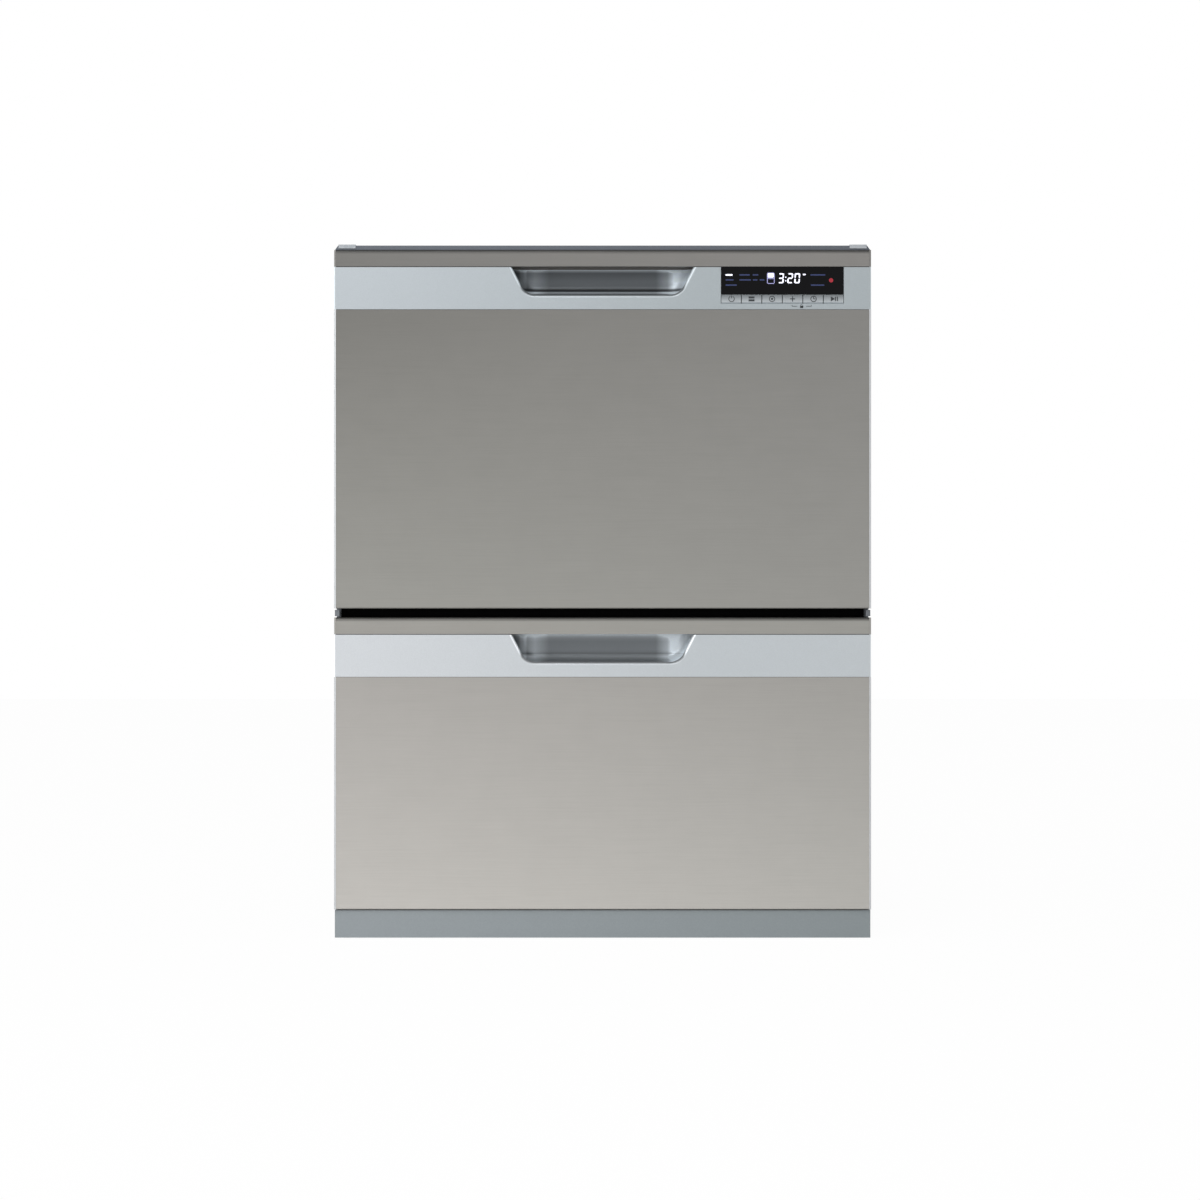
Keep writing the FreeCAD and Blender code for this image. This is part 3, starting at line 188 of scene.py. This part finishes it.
# silver lacquer on moulded ABS: fine metal flakes under a satin clear coat, cool grey
lacquer = {
    # painted light: the upper and lower bands are two lit copies of one lacquer, the lower lighter, and each
    # band's sides are lighter at the left, where the light falls, than at the right
    "upper": {
        "band": (701.3 * mm, 748.2 * mm),  # foot and top of the handle band
        "sides": ("b3babf", "a1a9ad"),
        "flank": "7d7b78",  # the frame beside the stainless strip, painted in the strip's lit tone
        # the scoop's inside in painted shade, darker than the band
        "scoop": "888e93",
        # painted shade and highlights of the scoop's inside down from the top of the band, in mm
        "rows": (
            (-28.7, 0.15), (-27.4, 0.5), (-26, 1.8), (-25, 1.8), (-24, 0.2), (-22, 0.08),
            (-20, 0.45), (-12, 0.62), (-7.6, 0.58), (-3.5, 0.55), (-1.5, 1.2), (0, 2.6),
        ),
        "mostTone": 3.6,
    },
    "lower": {
        "band": (292.0 * mm, 338.9 * mm),
        # the lower band's painted light, shade and highlights, lighter than the upper band's
        "sides": ("d1d5d9", "bec4c8"),
        "flank": "a09e9a",
        "scoop": "a6acb1",
        "rows": (
            (-29, 0.5), (-24.7, 1.0), (-21.4, 0.28), (-19.5, 0.52), (-16.9, 0.62),
            (-8, 0.6), (-4.7, 0.75), (-2.4, 1.1), (0, 1.9),
        ),
        "mostTone": 2.3,
    },
    # painted shade and highlights of the scoop's inside along X in mm: a dark left end in painted shade, a
    # soft stripe of painted highlight, and a painted highlight on the right end facing the light
    "columns": (
        (-98, 0.75), (-94, 1.2), (-92, 2.2), (-89, 2.5), (-87, 2.6), (-84.5, 1.4), (-76, 2.0), (-60, 1.0),
        (60, 1.0), (68, 1.8), (73, 2.2), (77, 4.0), (80, 6.0), (98, 6.0),
    ),
    "metallic": 0.35,
    "sideSpan": (-280 * mm, 120 * mm),  # over which the lighter left tone turns into the painted shade of the right one
    "flake": 0.9 * mm,  # real flakes are 0.05 mm, drawn as coarse as the render shows
    "flakeTones": (0.97, 1.03),
    "roughness": (0.32, 0.42),
    "coatRoughness": 0.3,
    "coat": (0.25, 0.0),  # outside and inside the scoop, which takes no gloss
    "specular": (0.5, 0.2),
    "scoopReach": 110 * mm,  # the scoop lies within this distance of the middle
    "scoopDepth": (2.2 * mm, 4.6 * mm),  # the lip's own tone ends and the scoop's painted shade begins
    "lipDepth": (0.02 * mm, 0.4 * mm),
    "lipShadeAndHighlight": (0.42, 1.9),  # painted shade on the long lower lip, and painted highlight on the short lips at both ends
    "lipEnds": (90 * mm, 94 * mm),  # where the long lip turns into the short ones
    # painted shade in the seams behind the band's edges
    "seamShade": "2b2c2d",
    "seamDepth": (0.5 * mm, 0.7 * mm),
    "seamWidth": 0.1 * mm,
    "seamEnd": 3 * mm,
    "edge": "d2d5d8",  # painted highlights on the edges beside the stainless panel
    "edgeStart": 296.8 * mm,
    "edgeDepth": 2 * mm,
    "flankStart": 0.5 * mm,  # how far above the band the flank's tone begins
}


def depths(key):
    return [frontFace + depth for depth in lacquer[key]]


def silverLacquer(name, values):
    foot, top = values["band"]
    coatRoughness = lacquer["coatRoughness"]
    material, tree, shader, place = startMaterial(name, lacquer["metallic"], Coat_Roughness=coatRoughness)
    x, y, z = axes(tree, place)
    aside = mathNode(tree, "ABSOLUTE", x)
    paint = mixCodes(tree, mapRange(tree, x, *lacquer["sideSpan"]), values["sides"])

    # the scoop's inside in painted shade and highlights: rows of tone down from the band's top times columns
    # of tone along it
    rows = toneRamp(tree, mathNode(tree, "SUBTRACT", z, top), values["rows"])
    tone = mathNode(tree, "MULTIPLY", rows, toneRamp(tree, x, lacquer["columns"]))
    tone = mathNode(tree, "MINIMUM", tone, values["mostTone"])
    hollowShade = scaleColour(tree, toLinear(values["scoop"])[:3], tone)
    centre = mathNode(tree, "LESS_THAN", aside, lacquer["scoopReach"])
    inside = mathNode(tree, "MULTIPLY", mapRange(tree, y, *depths("scoopDepth")), centre)

    # painted shade and highlights on the rolled lip round the scoop
    lipShading = mapRange(tree, aside, *lacquer["lipEnds"], *lacquer["lipShadeAndHighlight"])
    skin = scaleColour(tree, paint, mapRange(tree, y, *depths("lipDepth"), 1.0, lipShading))
    colour = mixColours(tree, inside, skin, hollowShade)

    # painted highlights on the edges below the band, and the flanks above it in the strip's lit tone
    edge = mathNode(tree, "GREATER_THAN", aside, lacquer["edgeStart"])
    edge = mathNode(tree, "MULTIPLY", edge, mathNode(tree, "LESS_THAN", z, foot))
    near = mathNode(tree, "LESS_THAN", y, frontFace + lacquer["edgeDepth"])
    edge = mathNode(tree, "MULTIPLY", edge, near)
    colour = mixColours(tree, edge, colour, toLinear(lacquer["edge"]))
    above = mathNode(tree, "GREATER_THAN", z, top + lacquer["flankStart"])
    colour = mixColours(tree, above, colour, toLinear(values["flank"]))

    # painted shade in the seams where the band meets the sheets above and below it
    away = mathNode(tree, "ABSOLUTE", mathNode(tree, "SUBTRACT", z, (foot + top) / 2))
    reach, blend = (top - foot) / 2, lacquer["seamWidth"]
    past = mapRange(tree, away, reach - blend, reach + blend)
    seamShade = mathNode(tree, "MULTIPLY", mapRange(tree, y, *depths("seamDepth")), past)
    ledge = mathNode(tree, "LESS_THAN", y, frontFace + lacquer["seamEnd"])
    seamShade = mathNode(tree, "MULTIPLY", seamShade, ledge)
    colour = mixColours(tree, seamShade, colour, toLinear(lacquer["seamShade"]))

    flakes = noiseTexture(tree, place, 1 / lacquer["flake"], detail=1.0)
    glint = mapRange(tree, flakes, *noiseSpan, *lacquer["flakeTones"])
    dull = mapRange(tree, flakes, *noiseSpan, *lacquer["roughness"])
    feed(tree, shader, Base_Color=scaleColour(tree, colour, glint), Roughness=dull)
    coat = mapRange(tree, inside, 0.0, 1.0, *lacquer["coat"])
    sheen = mapRange(tree, inside, 0.0, 1.0, *lacquer["specular"])
    feed(tree, shader, Coat_Weight=coat, Specular_IOR_Level=sheen)
    return material


# powder coated sheet metal with a slight orange peel, painted lighter at the left, where the light falls,
# and darker at the right in painted shade
powderPaints = {
    "topPowderCoat": {"codes": ("5f646c", "595e66"), "metallic": 0.3, "roughness": 0.45},
    "sidePowderCoat": {"codes": ("7b7f84", "6c7075"), "metallic": 0.3, "roughness": 0.45},
    "kickPowderCoat": {"codes": ("979ea2", "8a9295"), "metallic": 0.2, "roughness": 0.42},
}
peel = {"size": 1.6 * mm, "tones": (0.97, 1.03), "bump": (0.1, 0.3 * mm)}


def powderCoat(name, codes, metallic, roughness):
    material, tree, shader, place = startMaterial(name, metallic, Roughness=roughness)
    across = mapRange(tree, axes(tree, place)[0], -halfWidth, halfWidth)
    skin = noiseTexture(tree, place, 1 / peel["size"])
    tone = mapRange(tree, skin, *noiseSpan, *peel["tones"])
    colour = scaleColour(tree, mixCodes(tree, across, codes), tone)
    feed(tree, shader, Base_Color=colour, Normal=bumpFrom(tree, skin, *peel["bump"]))
    return material


# hot-dip zinc: flat crystals some 6 mm wide that each catch the light a little differently
galvanised = {"tones": ("979ca1", "a5a9ad"), "spangle": 6 * mm, "roughness": (0.36, 0.44), "metallic": 0.9}


def galvanisedSteel(name):
    material, tree, shader, place = startMaterial(name, galvanised["metallic"])
    crystal = addNode(tree, "ShaderNodeTexVoronoi", {"Scale": 1 / galvanised["spangle"], 0: place})
    split = addNode(tree, "ShaderNodeSeparateColor", {0: (crystal, "Color")})
    dull = mapRange(tree, (split, 1), 0.0, 1.0, *galvanised["roughness"])
    feed(tree, shader, Base_Color=mixCodes(tree, (split, 0), galvanised["tones"]), Roughness=dull)
    return material


# moulded plastics, rubber and ink: colour, roughness, grain size, strength of the grain, and an index of
# refraction where it is below the usual 1.5, which keeps the rail dark in its gap
mouldings = {
    "darkAbs": ("0e0f10", 0.55, 1.2 * mm, 0.15),
    # black ABS with a painted shade: darker than the black ABS above, for the gap it lies in
    "shadedRailAbs": ("050506", 0.7, 1.2 * mm, 0.1, 1.15),
    "linerPolypropylene": ("3a3c3f", 0.55, 1.5 * mm, 0.2),
    "tubPolypropylene": ("c6cacd", 0.4, 2.5 * mm, 0.12),
    "lidPolypropylene": ("b4b9bd", 0.45, 2.5 * mm, 0.15),
    "greyPolypropylene": ("7c8287", 0.42, 1.5 * mm, 0.12),
    "sealRubber": ("46474a", 0.7, 1.0 * mm, 0.25),
    "motorNylon": ("24262a", 0.5, 1.2 * mm, 0.2),
    "valveNylon": ("e2e2de", 0.42, 1.2 * mm, 0.1),
    "rackNylon": ("9da3a9", 0.38, 1.0 * mm, 0.1),
    "footNylon": ("202224", 0.55, 1.5 * mm, 0.3),
    "symbolInk": ("24282b", 0.6, 0.8 * mm, 0.05),
}
moulded = {
    "cloud": 14.0,  # scale of the faint clouds in the plastic
    "cloudTones": (0.98, 1.02),
    "grainDepth": 0.3 * mm,
    "roughnessSpread": (-0.05, 0.08),
}


def mouldedPlastic(name, code, roughness, grain, strength, index=1.5):
    material, tree, shader, place = startMaterial(name, 0.0, IOR=index)
    texture = noiseTexture(tree, place, 1 / grain)
    tone = mapRange(tree, noiseTexture(tree, place, moulded["cloud"]), *noiseSpan, *moulded["cloudTones"])
    colour = scaleColour(tree, toLinear(code)[:3], tone)
    dull = mapRange(tree, texture, *noiseSpan, *[roughness + more for more in moulded["roughnessSpread"]])
    bump = bumpFrom(tree, texture, strength, moulded["grainDepth"])
    feed(tree, shader, Base_Color=colour, Roughness=dull, Normal=bump)
    return material


# ABS caps in the same silver as the band, each dished, with a painted shade that darkens them towards the
# window
keycap = {
    # the cap's tone at its foot, and the painted shade at its top
    "codes": ("bcc2c6", "73787b"),
    "rise": (707.5 * mm, 716.5 * mm),
    "grain": 0.8 * mm,
    "grainTones": (0.97, 1.03),
    "metallic": 0.2,
    "roughness": 0.35,
}


def silverKeycap(name):
    material, tree, shader, place = startMaterial(name, keycap["metallic"], Roughness=keycap["roughness"])
    rise = mapRange(tree, axes(tree, place)[2], *keycap["rise"])
    flakes = noiseTexture(tree, place, 1 / keycap["grain"])
    glint = mapRange(tree, flakes, *noiseSpan, *keycap["grainTones"])
    feed(tree, shader, Base_Color=scaleColour(tree, mixCodes(tree, rise, keycap["codes"]), glint))
    return material


# smoked acrylic over the display, nearly black, with a hard gloss
glass = {
    "metallic": 0.0,
    "tones": ("060608", "0a0a0c"),
    "roughness": (0.1, 0.2),
    "texture": {"scale": 60.0, "detail": 3.0},
    "IOR": 1.2,
}
# turned steel of the screws and etched steel of the filters, both with a fine grain
steelTones = {"screwSteel": ("9c9ea0", "c8cacb"), "filterSteel": ("a6a8aa", "b2b4b5")}
steel = {"metallic": 1.0, "roughness": (0.26, 0.34), "texture": {"scale": 900.0}}


def cloudedSurface(name, metallic, tones, roughness, texture, **sockets):
    # two tones and a range of roughness that follow one noise
    material, tree, shader, place = startMaterial(name, metallic, **sockets)
    noise = noiseTexture(tree, place, **texture)
    dull = mapRange(tree, noise, 0.0, 1.0, *roughness)
    feed(tree, shader, Base_Color=mixCodes(tree, noise, tones), Roughness=dull)
    return material


# marks of the display, each lit in its own colour: sRGB code and strength
glows = {
    "displayWhite": ("eef0ff", 0.9),
    "displayBlue": ("1c2a58", 0.34),
    "displayRed": ("9c1226", 0.3),
    "displayLilac": ("a5a4d8", 0.5),
    "grain": 400.0,
    "dimmest": 0.6,
    "roughness": 0.4,
}


def litMark(name):
    code, strength = glows[name]
    colour = toLinear(code)
    glow = {"Emission_Color": colour, "Emission_Strength": strength}
    material, tree, shader, place = startMaterial(name, 0.0, Roughness=glows["roughness"], **glow)
    dim = [channel * glows["dimmest"] for channel in colour[:3]] + [1.0]
    feed(tree, shader, Base_Color=mixColours(tree, noiseTexture(tree, place, glows["grain"]), dim, colour))
    return material


# glass epoxy under green solder mask, with copper traces as faint lighter bands
board = {"mask": ("0d4a28", "105530"), "traces": "1d7a48", "scale": 180.0, "roughness": 0.35}


def circuitBoard(name):
    material, tree, shader, place = startMaterial(name, 0.0, Roughness=board["roughness"])
    first, second = [toLinear(code) for code in board["mask"]]
    colours = {"Color1": first, "Color2": second, "Mortar": toLinear(board["traces"])}
    traces = addNode(tree, "ShaderNodeTexBrick", {0: place, "Scale": board["scale"], **colours})
    feed(tree, shader, Base_Color=(traces, 0))
    return material


plastics = {name: mouldedPlastic(name, *values) for name, values in mouldings.items()}
paints = {name: powderCoat(name, **values) for name, values in powderPaints.items()}
steels = {name: cloudedSurface(name, tones=tones, **steel) for name, tones in steelTones.items()}
zinc = galvanisedSteel("galvanisedSteel")
keycapSilver = silverKeycap("keycapSilver")
materials = {
    "upper_front_frame": silverLacquer("silverLacquerUpper", lacquer["upper"]),
    "lower_front_frame": silverLacquer("silverLacquerLower", lacquer["lower"]),
    "kick_strip": paints["kickPowderCoat"],
    "display_window": cloudedSurface("smokedAcrylic", **glass),
    "control_board": circuitBoard("solderMask"),
    "chassis_side_left": paints["sidePowderCoat"],
    "chassis_side_right": paints["sidePowderCoat"],
    "chassis_top": paints["topPowderCoat"],
    "chassis_base": zinc,
    "chassis_rear": zinc,
    "worktop_brackets": zinc,
    "runner_outers": zinc,
    "chassis_screws": steels["screwSteel"],
    "chassis_middle_rail": plastics["shadedRailAbs"],
    "lid_lifters": plastics["darkAbs"],
    "cord_gland": plastics["darkAbs"],
    "water_inlet_valve": plastics["valveNylon"],
    "drain_spigot": plastics["greyPolypropylene"],
    "upper_cup_shelf": plastics["rackNylon"],
    "upper_cutlery_basket": plastics["greyPolypropylene"],
}
for name, (node, *tones) in sheets.items():
    materials[node] = brushedStainless(name, node, *tones)
inBothDrawers = {
    "runner_middles": zinc,
    "runner_inners": zinc,
    "inner_panel": plastics["linerPolypropylene"],
    "tub": plastics["tubPolypropylene"],
    "lid": plastics["lidPolypropylene"],
    "lid_seal": plastics["sealRubber"],
    "wash_pump": plastics["motorNylon"],
    "spray_arm": plastics["greyPolypropylene"],
    "filter_plate": steels["filterSteel"],
    "filter_cup": plastics["greyPolypropylene"],
    "dispenser_body": plastics["tubPolypropylene"],
    "dispenser_cover": plastics["greyPolypropylene"],
    "rack": plastics["rackNylon"],
}
for name, material in inBothDrawers.items():
    materials["upper_" + name] = materials["lower_" + name] = material
for name in nodes:
    if name.startswith("button_"):
        materials[name] = keycapSilver
    if name.startswith("levelling_foot"):
        materials[name] = plastics["footNylon"]

for name, node in nodes.items():
    node.data.materials.clear()
    node.data.materials.append(materials[name])
print("materials on", len(materials), "nodes")


# printed and lit marks: flat shapes a hair proud of the surface they are on
markDepth = 0.06 * mm
facing = (math.pi / 2, 0, 0)  # turns what Blender makes flat towards the front
photo = {"middle": 602.6, "foot": 937.3}  # the front's middle and foot, in pixels
pixelSize = 1.1136  # mm on the front
footHeight = 2  # mm from the floor to the front's foot


def place(px, py):
    # pixels of the photograph to X and Z on the front
    height = footHeight + (photo["foot"] - py) * pixelSize
    return (px - photo["middle"]) * pixelSize * mm, height * mm


def settle():
    # puts the new object's place, turn and size into its mesh
    bpy.ops.object.transform_apply(location=True, rotation=True, scale=True)
    return bpy.context.object


def blunt(offset, segments):
    # cuts or rounds the corners of the flat piece that was made last
    bpy.ops.object.mode_set(mode="EDIT")
    bpy.ops.mesh.bevel(offset=offset, segments=segments, affect="VERTICES")
    bpy.ops.object.mode_set(mode="OBJECT")


def plate(x, z, width, height, corner=0.0):
    # one flat plate on the front, its corners rounded
    bpy.ops.mesh.primitive_plane_add(size=1, location=(x, frontFace, z), rotation=facing)
    bpy.context.object.scale = (width, height, 1)
    piece = settle()
    if corner:
        blunt(corner, 3)
    return piece


def bar(x, z, width, height, corner=0.0):
    # the same with its sizes in mm
    return plate(x, z, width * mm, height * mm, corner * mm)


def disc(x, z, radius, corners, turn=0):
    # a filled circle, or a triangle where it has three corners
    bpy.ops.mesh.primitive_circle_add(
        vertices=corners,
        radius=radius * mm,
        fill_type="NGON",
        location=(x, frontFace, z),
        rotation=(facing[0], math.radians(turn), 0),
    )
    return settle()


def ring(x, z, radius, thickness, gap=0):
    # a flat ring, open over the gap, in degrees to either side of its top
    bpy.ops.mesh.primitive_circle_add(
        vertices=36, radius=radius * mm, location=(x, frontFace, z), rotation=facing
    )
    piece = settle()
    bpy.ops.object.mode_set(mode="EDIT")
    bpy.ops.mesh.select_all(action="SELECT")
    bpy.ops.mesh.extrude_edges_move()
    shrink = 1 - thickness / radius
    bpy.ops.transform.resize(value=(shrink, 1, shrink), center_override=(x, frontFace, z))
    if gap:
        bpy.ops.mesh.select_all(action="DESELECT")
        bpy.ops.object.mode_set(mode="OBJECT")
        for face in piece.data.polygons:
            angle = math.degrees(math.atan2(face.center.x - x, face.center.z - z))
            face.select = -gap < angle < gap
        bpy.ops.object.mode_set(mode="EDIT")
        bpy.ops.mesh.select_mode(type="FACE")
        bpy.ops.mesh.delete(type="FACE")
        bpy.ops.mesh.select_mode(type="VERT")
    bpy.ops.object.mode_set(mode="OBJECT")
    return piece


def drawMark(px, py, shapes):
    # each shape stands in mm from one point of the photograph, and has its sizes in mm
    x, z = place(px, py)
    return [shape(x + right * mm, z + up * mm, *sizes) for shape, right, up, *sizes in shapes]


def joinMarks(name, parts, material, body):
    deselect()
    for part in parts:
        part.select_set(True)
    bpy.context.view_layer.objects.active = parts[0]
    if len(parts) > 1:
        bpy.ops.object.join()
    piece = bpy.context.object
    piece.name = piece.data.name = name
    bpy.ops.object.mode_set(mode="EDIT")
    bpy.ops.mesh.select_all(action="SELECT")
    bpy.ops.mesh.normals_make_consistent(inside=False)
    bpy.ops.object.mode_set(mode="OBJECT")
    solid = piece.modifiers.new("thickness", "SOLIDIFY")
    solid.thickness = 2 * markDepth
    solid.offset = 0
    bpy.ops.object.modifier_apply(modifier=solid.name)
    bpy.ops.object.origin_set(type="ORIGIN_CURSOR")
    piece.data.materials.clear()
    piece.data.materials.append(material)
    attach(piece, body)
    deselect()


deselect()
bpy.context.scene.cursor.location = (0, 0, 0)

display = {
    "digits": (("3", 778.3), ("2", 787.4), ("0", 794.4)),  # left edges in the photograph
    "digitWidth": 5.5,
    "digitTop": 273.3,
    "digitFoot": 283.4,
    "stroke": 1.45 * mm,
    "strokeGap": 0.12 * mm,
    "pointed": 0.42,  # share of a stroke's width that its corners lose
    "slant": 0.06,
    # small lit shapes beside the digits: the colon's two dots and a short bar
    "dots": (
        (785.7, 277.3, [(bar, 0, 0, 1.3, 1.3, 0.3)]),
        (785.7, 280.9, [(bar, 0, 0, 1.3, 1.3, 0.3)]),
        (804.2, 274.6, [(bar, 0, 0, 3.0, 1.6, 0.5)]),
    ),
    # left end, right end and row of each unlit bar, and of the lit one
    "bars": (
        (725.5, 733.7, 280), (725.5, 736.8, 285.2), (739.3, 749.8, 275), (752.5, 758.3, 275),
        (739.3, 751, 280), (752.8, 757.5, 280), (759.5, 764.5, 280), (810.3, 825.3, 275),
        (810.8, 824.3, 285.2),
    ),
    "litBar": (725.5, 732.5, 275),
    "barHeight": 1.5 * mm,
    "litBarHeight": 1.725 * mm,
    "barCorner": 0.6 * mm,
    "lamp": (831, 280.4, [(disc, 0, 0, 2.4, 24)]),
    # a sign of two drawers: its corners in the photograph, its lines, and its lit upper half
    "sign": ((767.0, 272.8), (774.5, 283.9)),
    "signLine": 0.7 * mm,
    "signCut": (1.2 * mm, 1.6 * mm),  # how much shorter than the sign its flat and upright lines are
    "signMiddle": 0.4 * mm,  # the middle line lies this far below the middle
    # its height and middle are shares of the sign's height
    "signLit": {"inset": 1.8 * mm, "height": 0.4, "middle": 0.76, "corner": 0.8 * mm},
}
segmentsOn = {"0": "abcdef", "2": "abged", "3": "abgcd"}


def digit(value, px):
    # seven pointed strokes, of which the value has some
    left, top = place(px, display["digitTop"])
    right, foot = place(px + display["digitWidth"], display["digitFoot"])
    stroke = display["stroke"]
    half, centre, middle = stroke / 2, (left + right) / 2, (foot + top) / 2
    flat = (right - left - stroke, stroke)
    tall = (stroke, (top - foot) / 2 - half - display["strokeGap"])
    spots = {
        "a": (centre, top - half, *flat),
        "g": (centre, middle, *flat),
        "d": (centre, foot + half, *flat),
        "f": (left + half, (top + middle) / 2, *tall),
        "b": (right - half, (top + middle) / 2, *tall),
        "e": (left + half, (foot + middle) / 2, *tall),
        "c": (right - half, (foot + middle) / 2, *tall),
    }
    pieces = []
    for key in segmentsOn[value]:
        pieces.append(plate(*spots[key]))
        blunt(stroke * display["pointed"], 1)
        for vertex in pieces[-1].data.vertices:
            vertex.co.x += (vertex.co.z - middle) * display["slant"]
    return pieces


def legendBar(left, right, row, height):
    start, z = place(left, row)
    end, z = place(right, row)
    return plate((start + end) / 2, z, end - start, height, display["barCorner"])


left, top = place(*display["sign"][0])
right, foot = place(*display["sign"][1])
centre, middle, line = (left + right) / 2, (foot + top) / 2, display["signLine"]
lit = [piece for value, px in display["digits"] for piece in digit(value, px)]
for spot in display["dots"]:
    lit += drawMark(*spot)
lit.append(legendBar(*display["litBar"], display["litBarHeight"]))
litHalf = display["signLit"]
width, height = right - left - litHalf["inset"], (top - foot) * litHalf["height"]
lit.append(plate(centre, foot + (top - foot) * litHalf["middle"], width, height, litHalf["corner"]))
joinMarks("displayTime", lit, litMark("displayWhite"), "upper_drawer")

cutAcross, cutUp = display["signCut"]
outline = [plate(x, middle, line, top - foot - cutUp) for x in (left + line / 2, right - line / 2)]
for z in (foot + line / 2, middle - display["signMiddle"], top - line / 2):
    outline.append(plate(centre, z, right - left - cutAcross, line))
joinMarks("displayDrawerSign", outline, litMark("displayLilac"), "upper_drawer")

bars = [legendBar(*spot, display["barHeight"]) for spot in display["bars"]]
joinMarks("displayLegends", bars, litMark("displayBlue"), "upper_drawer")
joinMarks("displayLamp", drawMark(*display["lamp"]), litMark("displayRed"), "upper_drawer")
print("display marks made")

# pictograms on the keys, pad printed in dark grey: place in the photograph and shapes in mm from there
symbolRow = 299.0
symbols = {
    "power": (731.5, [(ring, 0, 0, 3.5, 0.85, 32), (bar, 0, 2.2, 0.85, 3.0)]),
    "wash": (751.5, [(bar, 0, 1.6, 6.6, 2.3), (bar, 0, -1.6, 6.6, 2.3)]),
    "program": (772.0, [(ring, 0, 0, 3.4, 0.85), (bar, 0, 0, 2.3, 2.3, 0.6)]),
    "function": (792.5, [(bar, 0, 0, 5.8, 1.0), (bar, 0, 1.8, 1.0, 2.6), (bar, 0, -1.8, 1.0, 2.6)]),
    "delay": (813.5, [(ring, 0, 0, 3.5, 0.85), (bar, 0, 1.2, 0.85, 2.4), (bar, 1.1, 0, 2.2, 0.85)]),
    "start": (834.0, [(disc, -2.0, 0, 3.1, 3, 90), (bar, 1.6, 0, 1.1, 4.8), (bar, 3.7, 0, 1.1, 4.8)]),
}
for kind, (px, shapes) in symbols.items():
    parts = drawMark(px, symbolRow, shapes)
    joinMarks("symbol_" + kind, parts, plastics["symbolInk"], "button_" + kind)

# the small printed sign under the keys
lockHint = [(bar, side * 8.0, 0.3, 6.0, 0.6) for side in (-1, 1)]
lockHint += [(bar, side * 10.7, 1.1, 0.6, 1.4) for side in (-1, 1)]
lockHint += [(bar, 0, -0.5, 3.6, 2.4), (ring, 0, 0.9, 1.4, 0.5)]
parts = drawMark(801.6, 306.6, lockHint)
joinMarks("lockHint", parts, plastics["symbolInk"], "upper_drawer")
print("button symbols made")


# studio: pale floor, white surroundings, soft light from above and in front
studio = {
    "floor": "f4f4f4",
    "floorSize": 14,
    "floorRoughness": 0.8,
    "floorGlow": 0.97,  # how much of the floor that is seen directly shows plain white
    "diffuseLight": 0.48,
    "aim": (0, 0, 0.4),
    "key": {"place": (-0.5, -2.3, 2.4), "size": 1.6, "power": 35.0},
    "fill": {"place": (-2.6, -1.7, 0.9), "size": 1.2, "power": 16.0},
}
plainWhite = (1, 1, 1, 1)


def seenRays(tree):
    # 1 for what is seen directly, in a reflection or through the part, and 0 for light on a surface
    ray = addNode(tree, "ShaderNodeLightPath", {})
    seen = mathNode(tree, "MAXIMUM", (ray, "Is Camera Ray"), (ray, "Is Glossy Ray"))
    return mathNode(tree, "MAXIMUM", seen, (ray, "Is Transmission Ray"))


deselect()
bpy.ops.mesh.primitive_plane_add(size=studio["floorSize"], location=(0, 0, 0))
floor = bpy.context.object
floor.name = "studioFloor"
floorColour = {"Base_Color": toLinear(studio["floor"]), "Roughness": studio["floorRoughness"]}
floorMaterial, tree, shader, _ = startMaterial("studioFloor", 0.0, **floorColour)
share = mathNode(tree, "MULTIPLY", seenRays(tree), studio["floorGlow"])
glow = addNode(tree, "ShaderNodeEmission", {"Color": plainWhite, "Strength": 1.0})
mixed = addNode(tree, "ShaderNodeMixShader", {0: share, 1: (shader, 0), 2: (glow, 0)})
feed(tree, tree.nodes["Material Output"], Surface=(mixed, 0))
floor.data.materials.append(floorMaterial)

world = bpy.data.worlds.new("studioWorld")
bpy.context.scene.world = world
world.use_nodes = True
tree = world.node_tree
tree.nodes.clear()
around = addNode(tree, "ShaderNodeBackground", {"Color": plainWhite, "Strength": studio["diffuseLight"]})
white = addNode(tree, "ShaderNodeBackground", {"Color": plainWhite, "Strength": 1.0})
mixed = addNode(tree, "ShaderNodeMixShader", {0: seenRays(tree), 1: (around, 0), 2: (white, 0)})
addNode(tree, "ShaderNodeOutputWorld", {0: (mixed, 0)})

for name in ("key", "fill"):
    bpy.ops.object.light_add(type="AREA", location=studio[name]["place"])
    lamp = bpy.context.object
    lamp.name = name + "Light"
    lamp.data.size = studio[name]["size"]
    lamp.data.energy = studio[name]["power"]
    lamp.rotation_euler = (Vector(studio["aim"]) - lamp.location).to_track_quat("-Z", "Y").to_euler()

# level and straight from the front, as the photograph was taken
camera = {"place": (-2.9 * mm, -3.285, 377.6 * mm), "lens": 80.84, "sensor": 36}
bpy.ops.object.camera_add(location=camera["place"], rotation=facing)
bpy.context.object.data.lens = camera["lens"]
bpy.context.object.data.sensor_width = camera["sensor"]
bpy.context.scene.camera = bpy.context.object
bpy.context.scene.view_settings.view_transform = "Standard"
print("studio made")
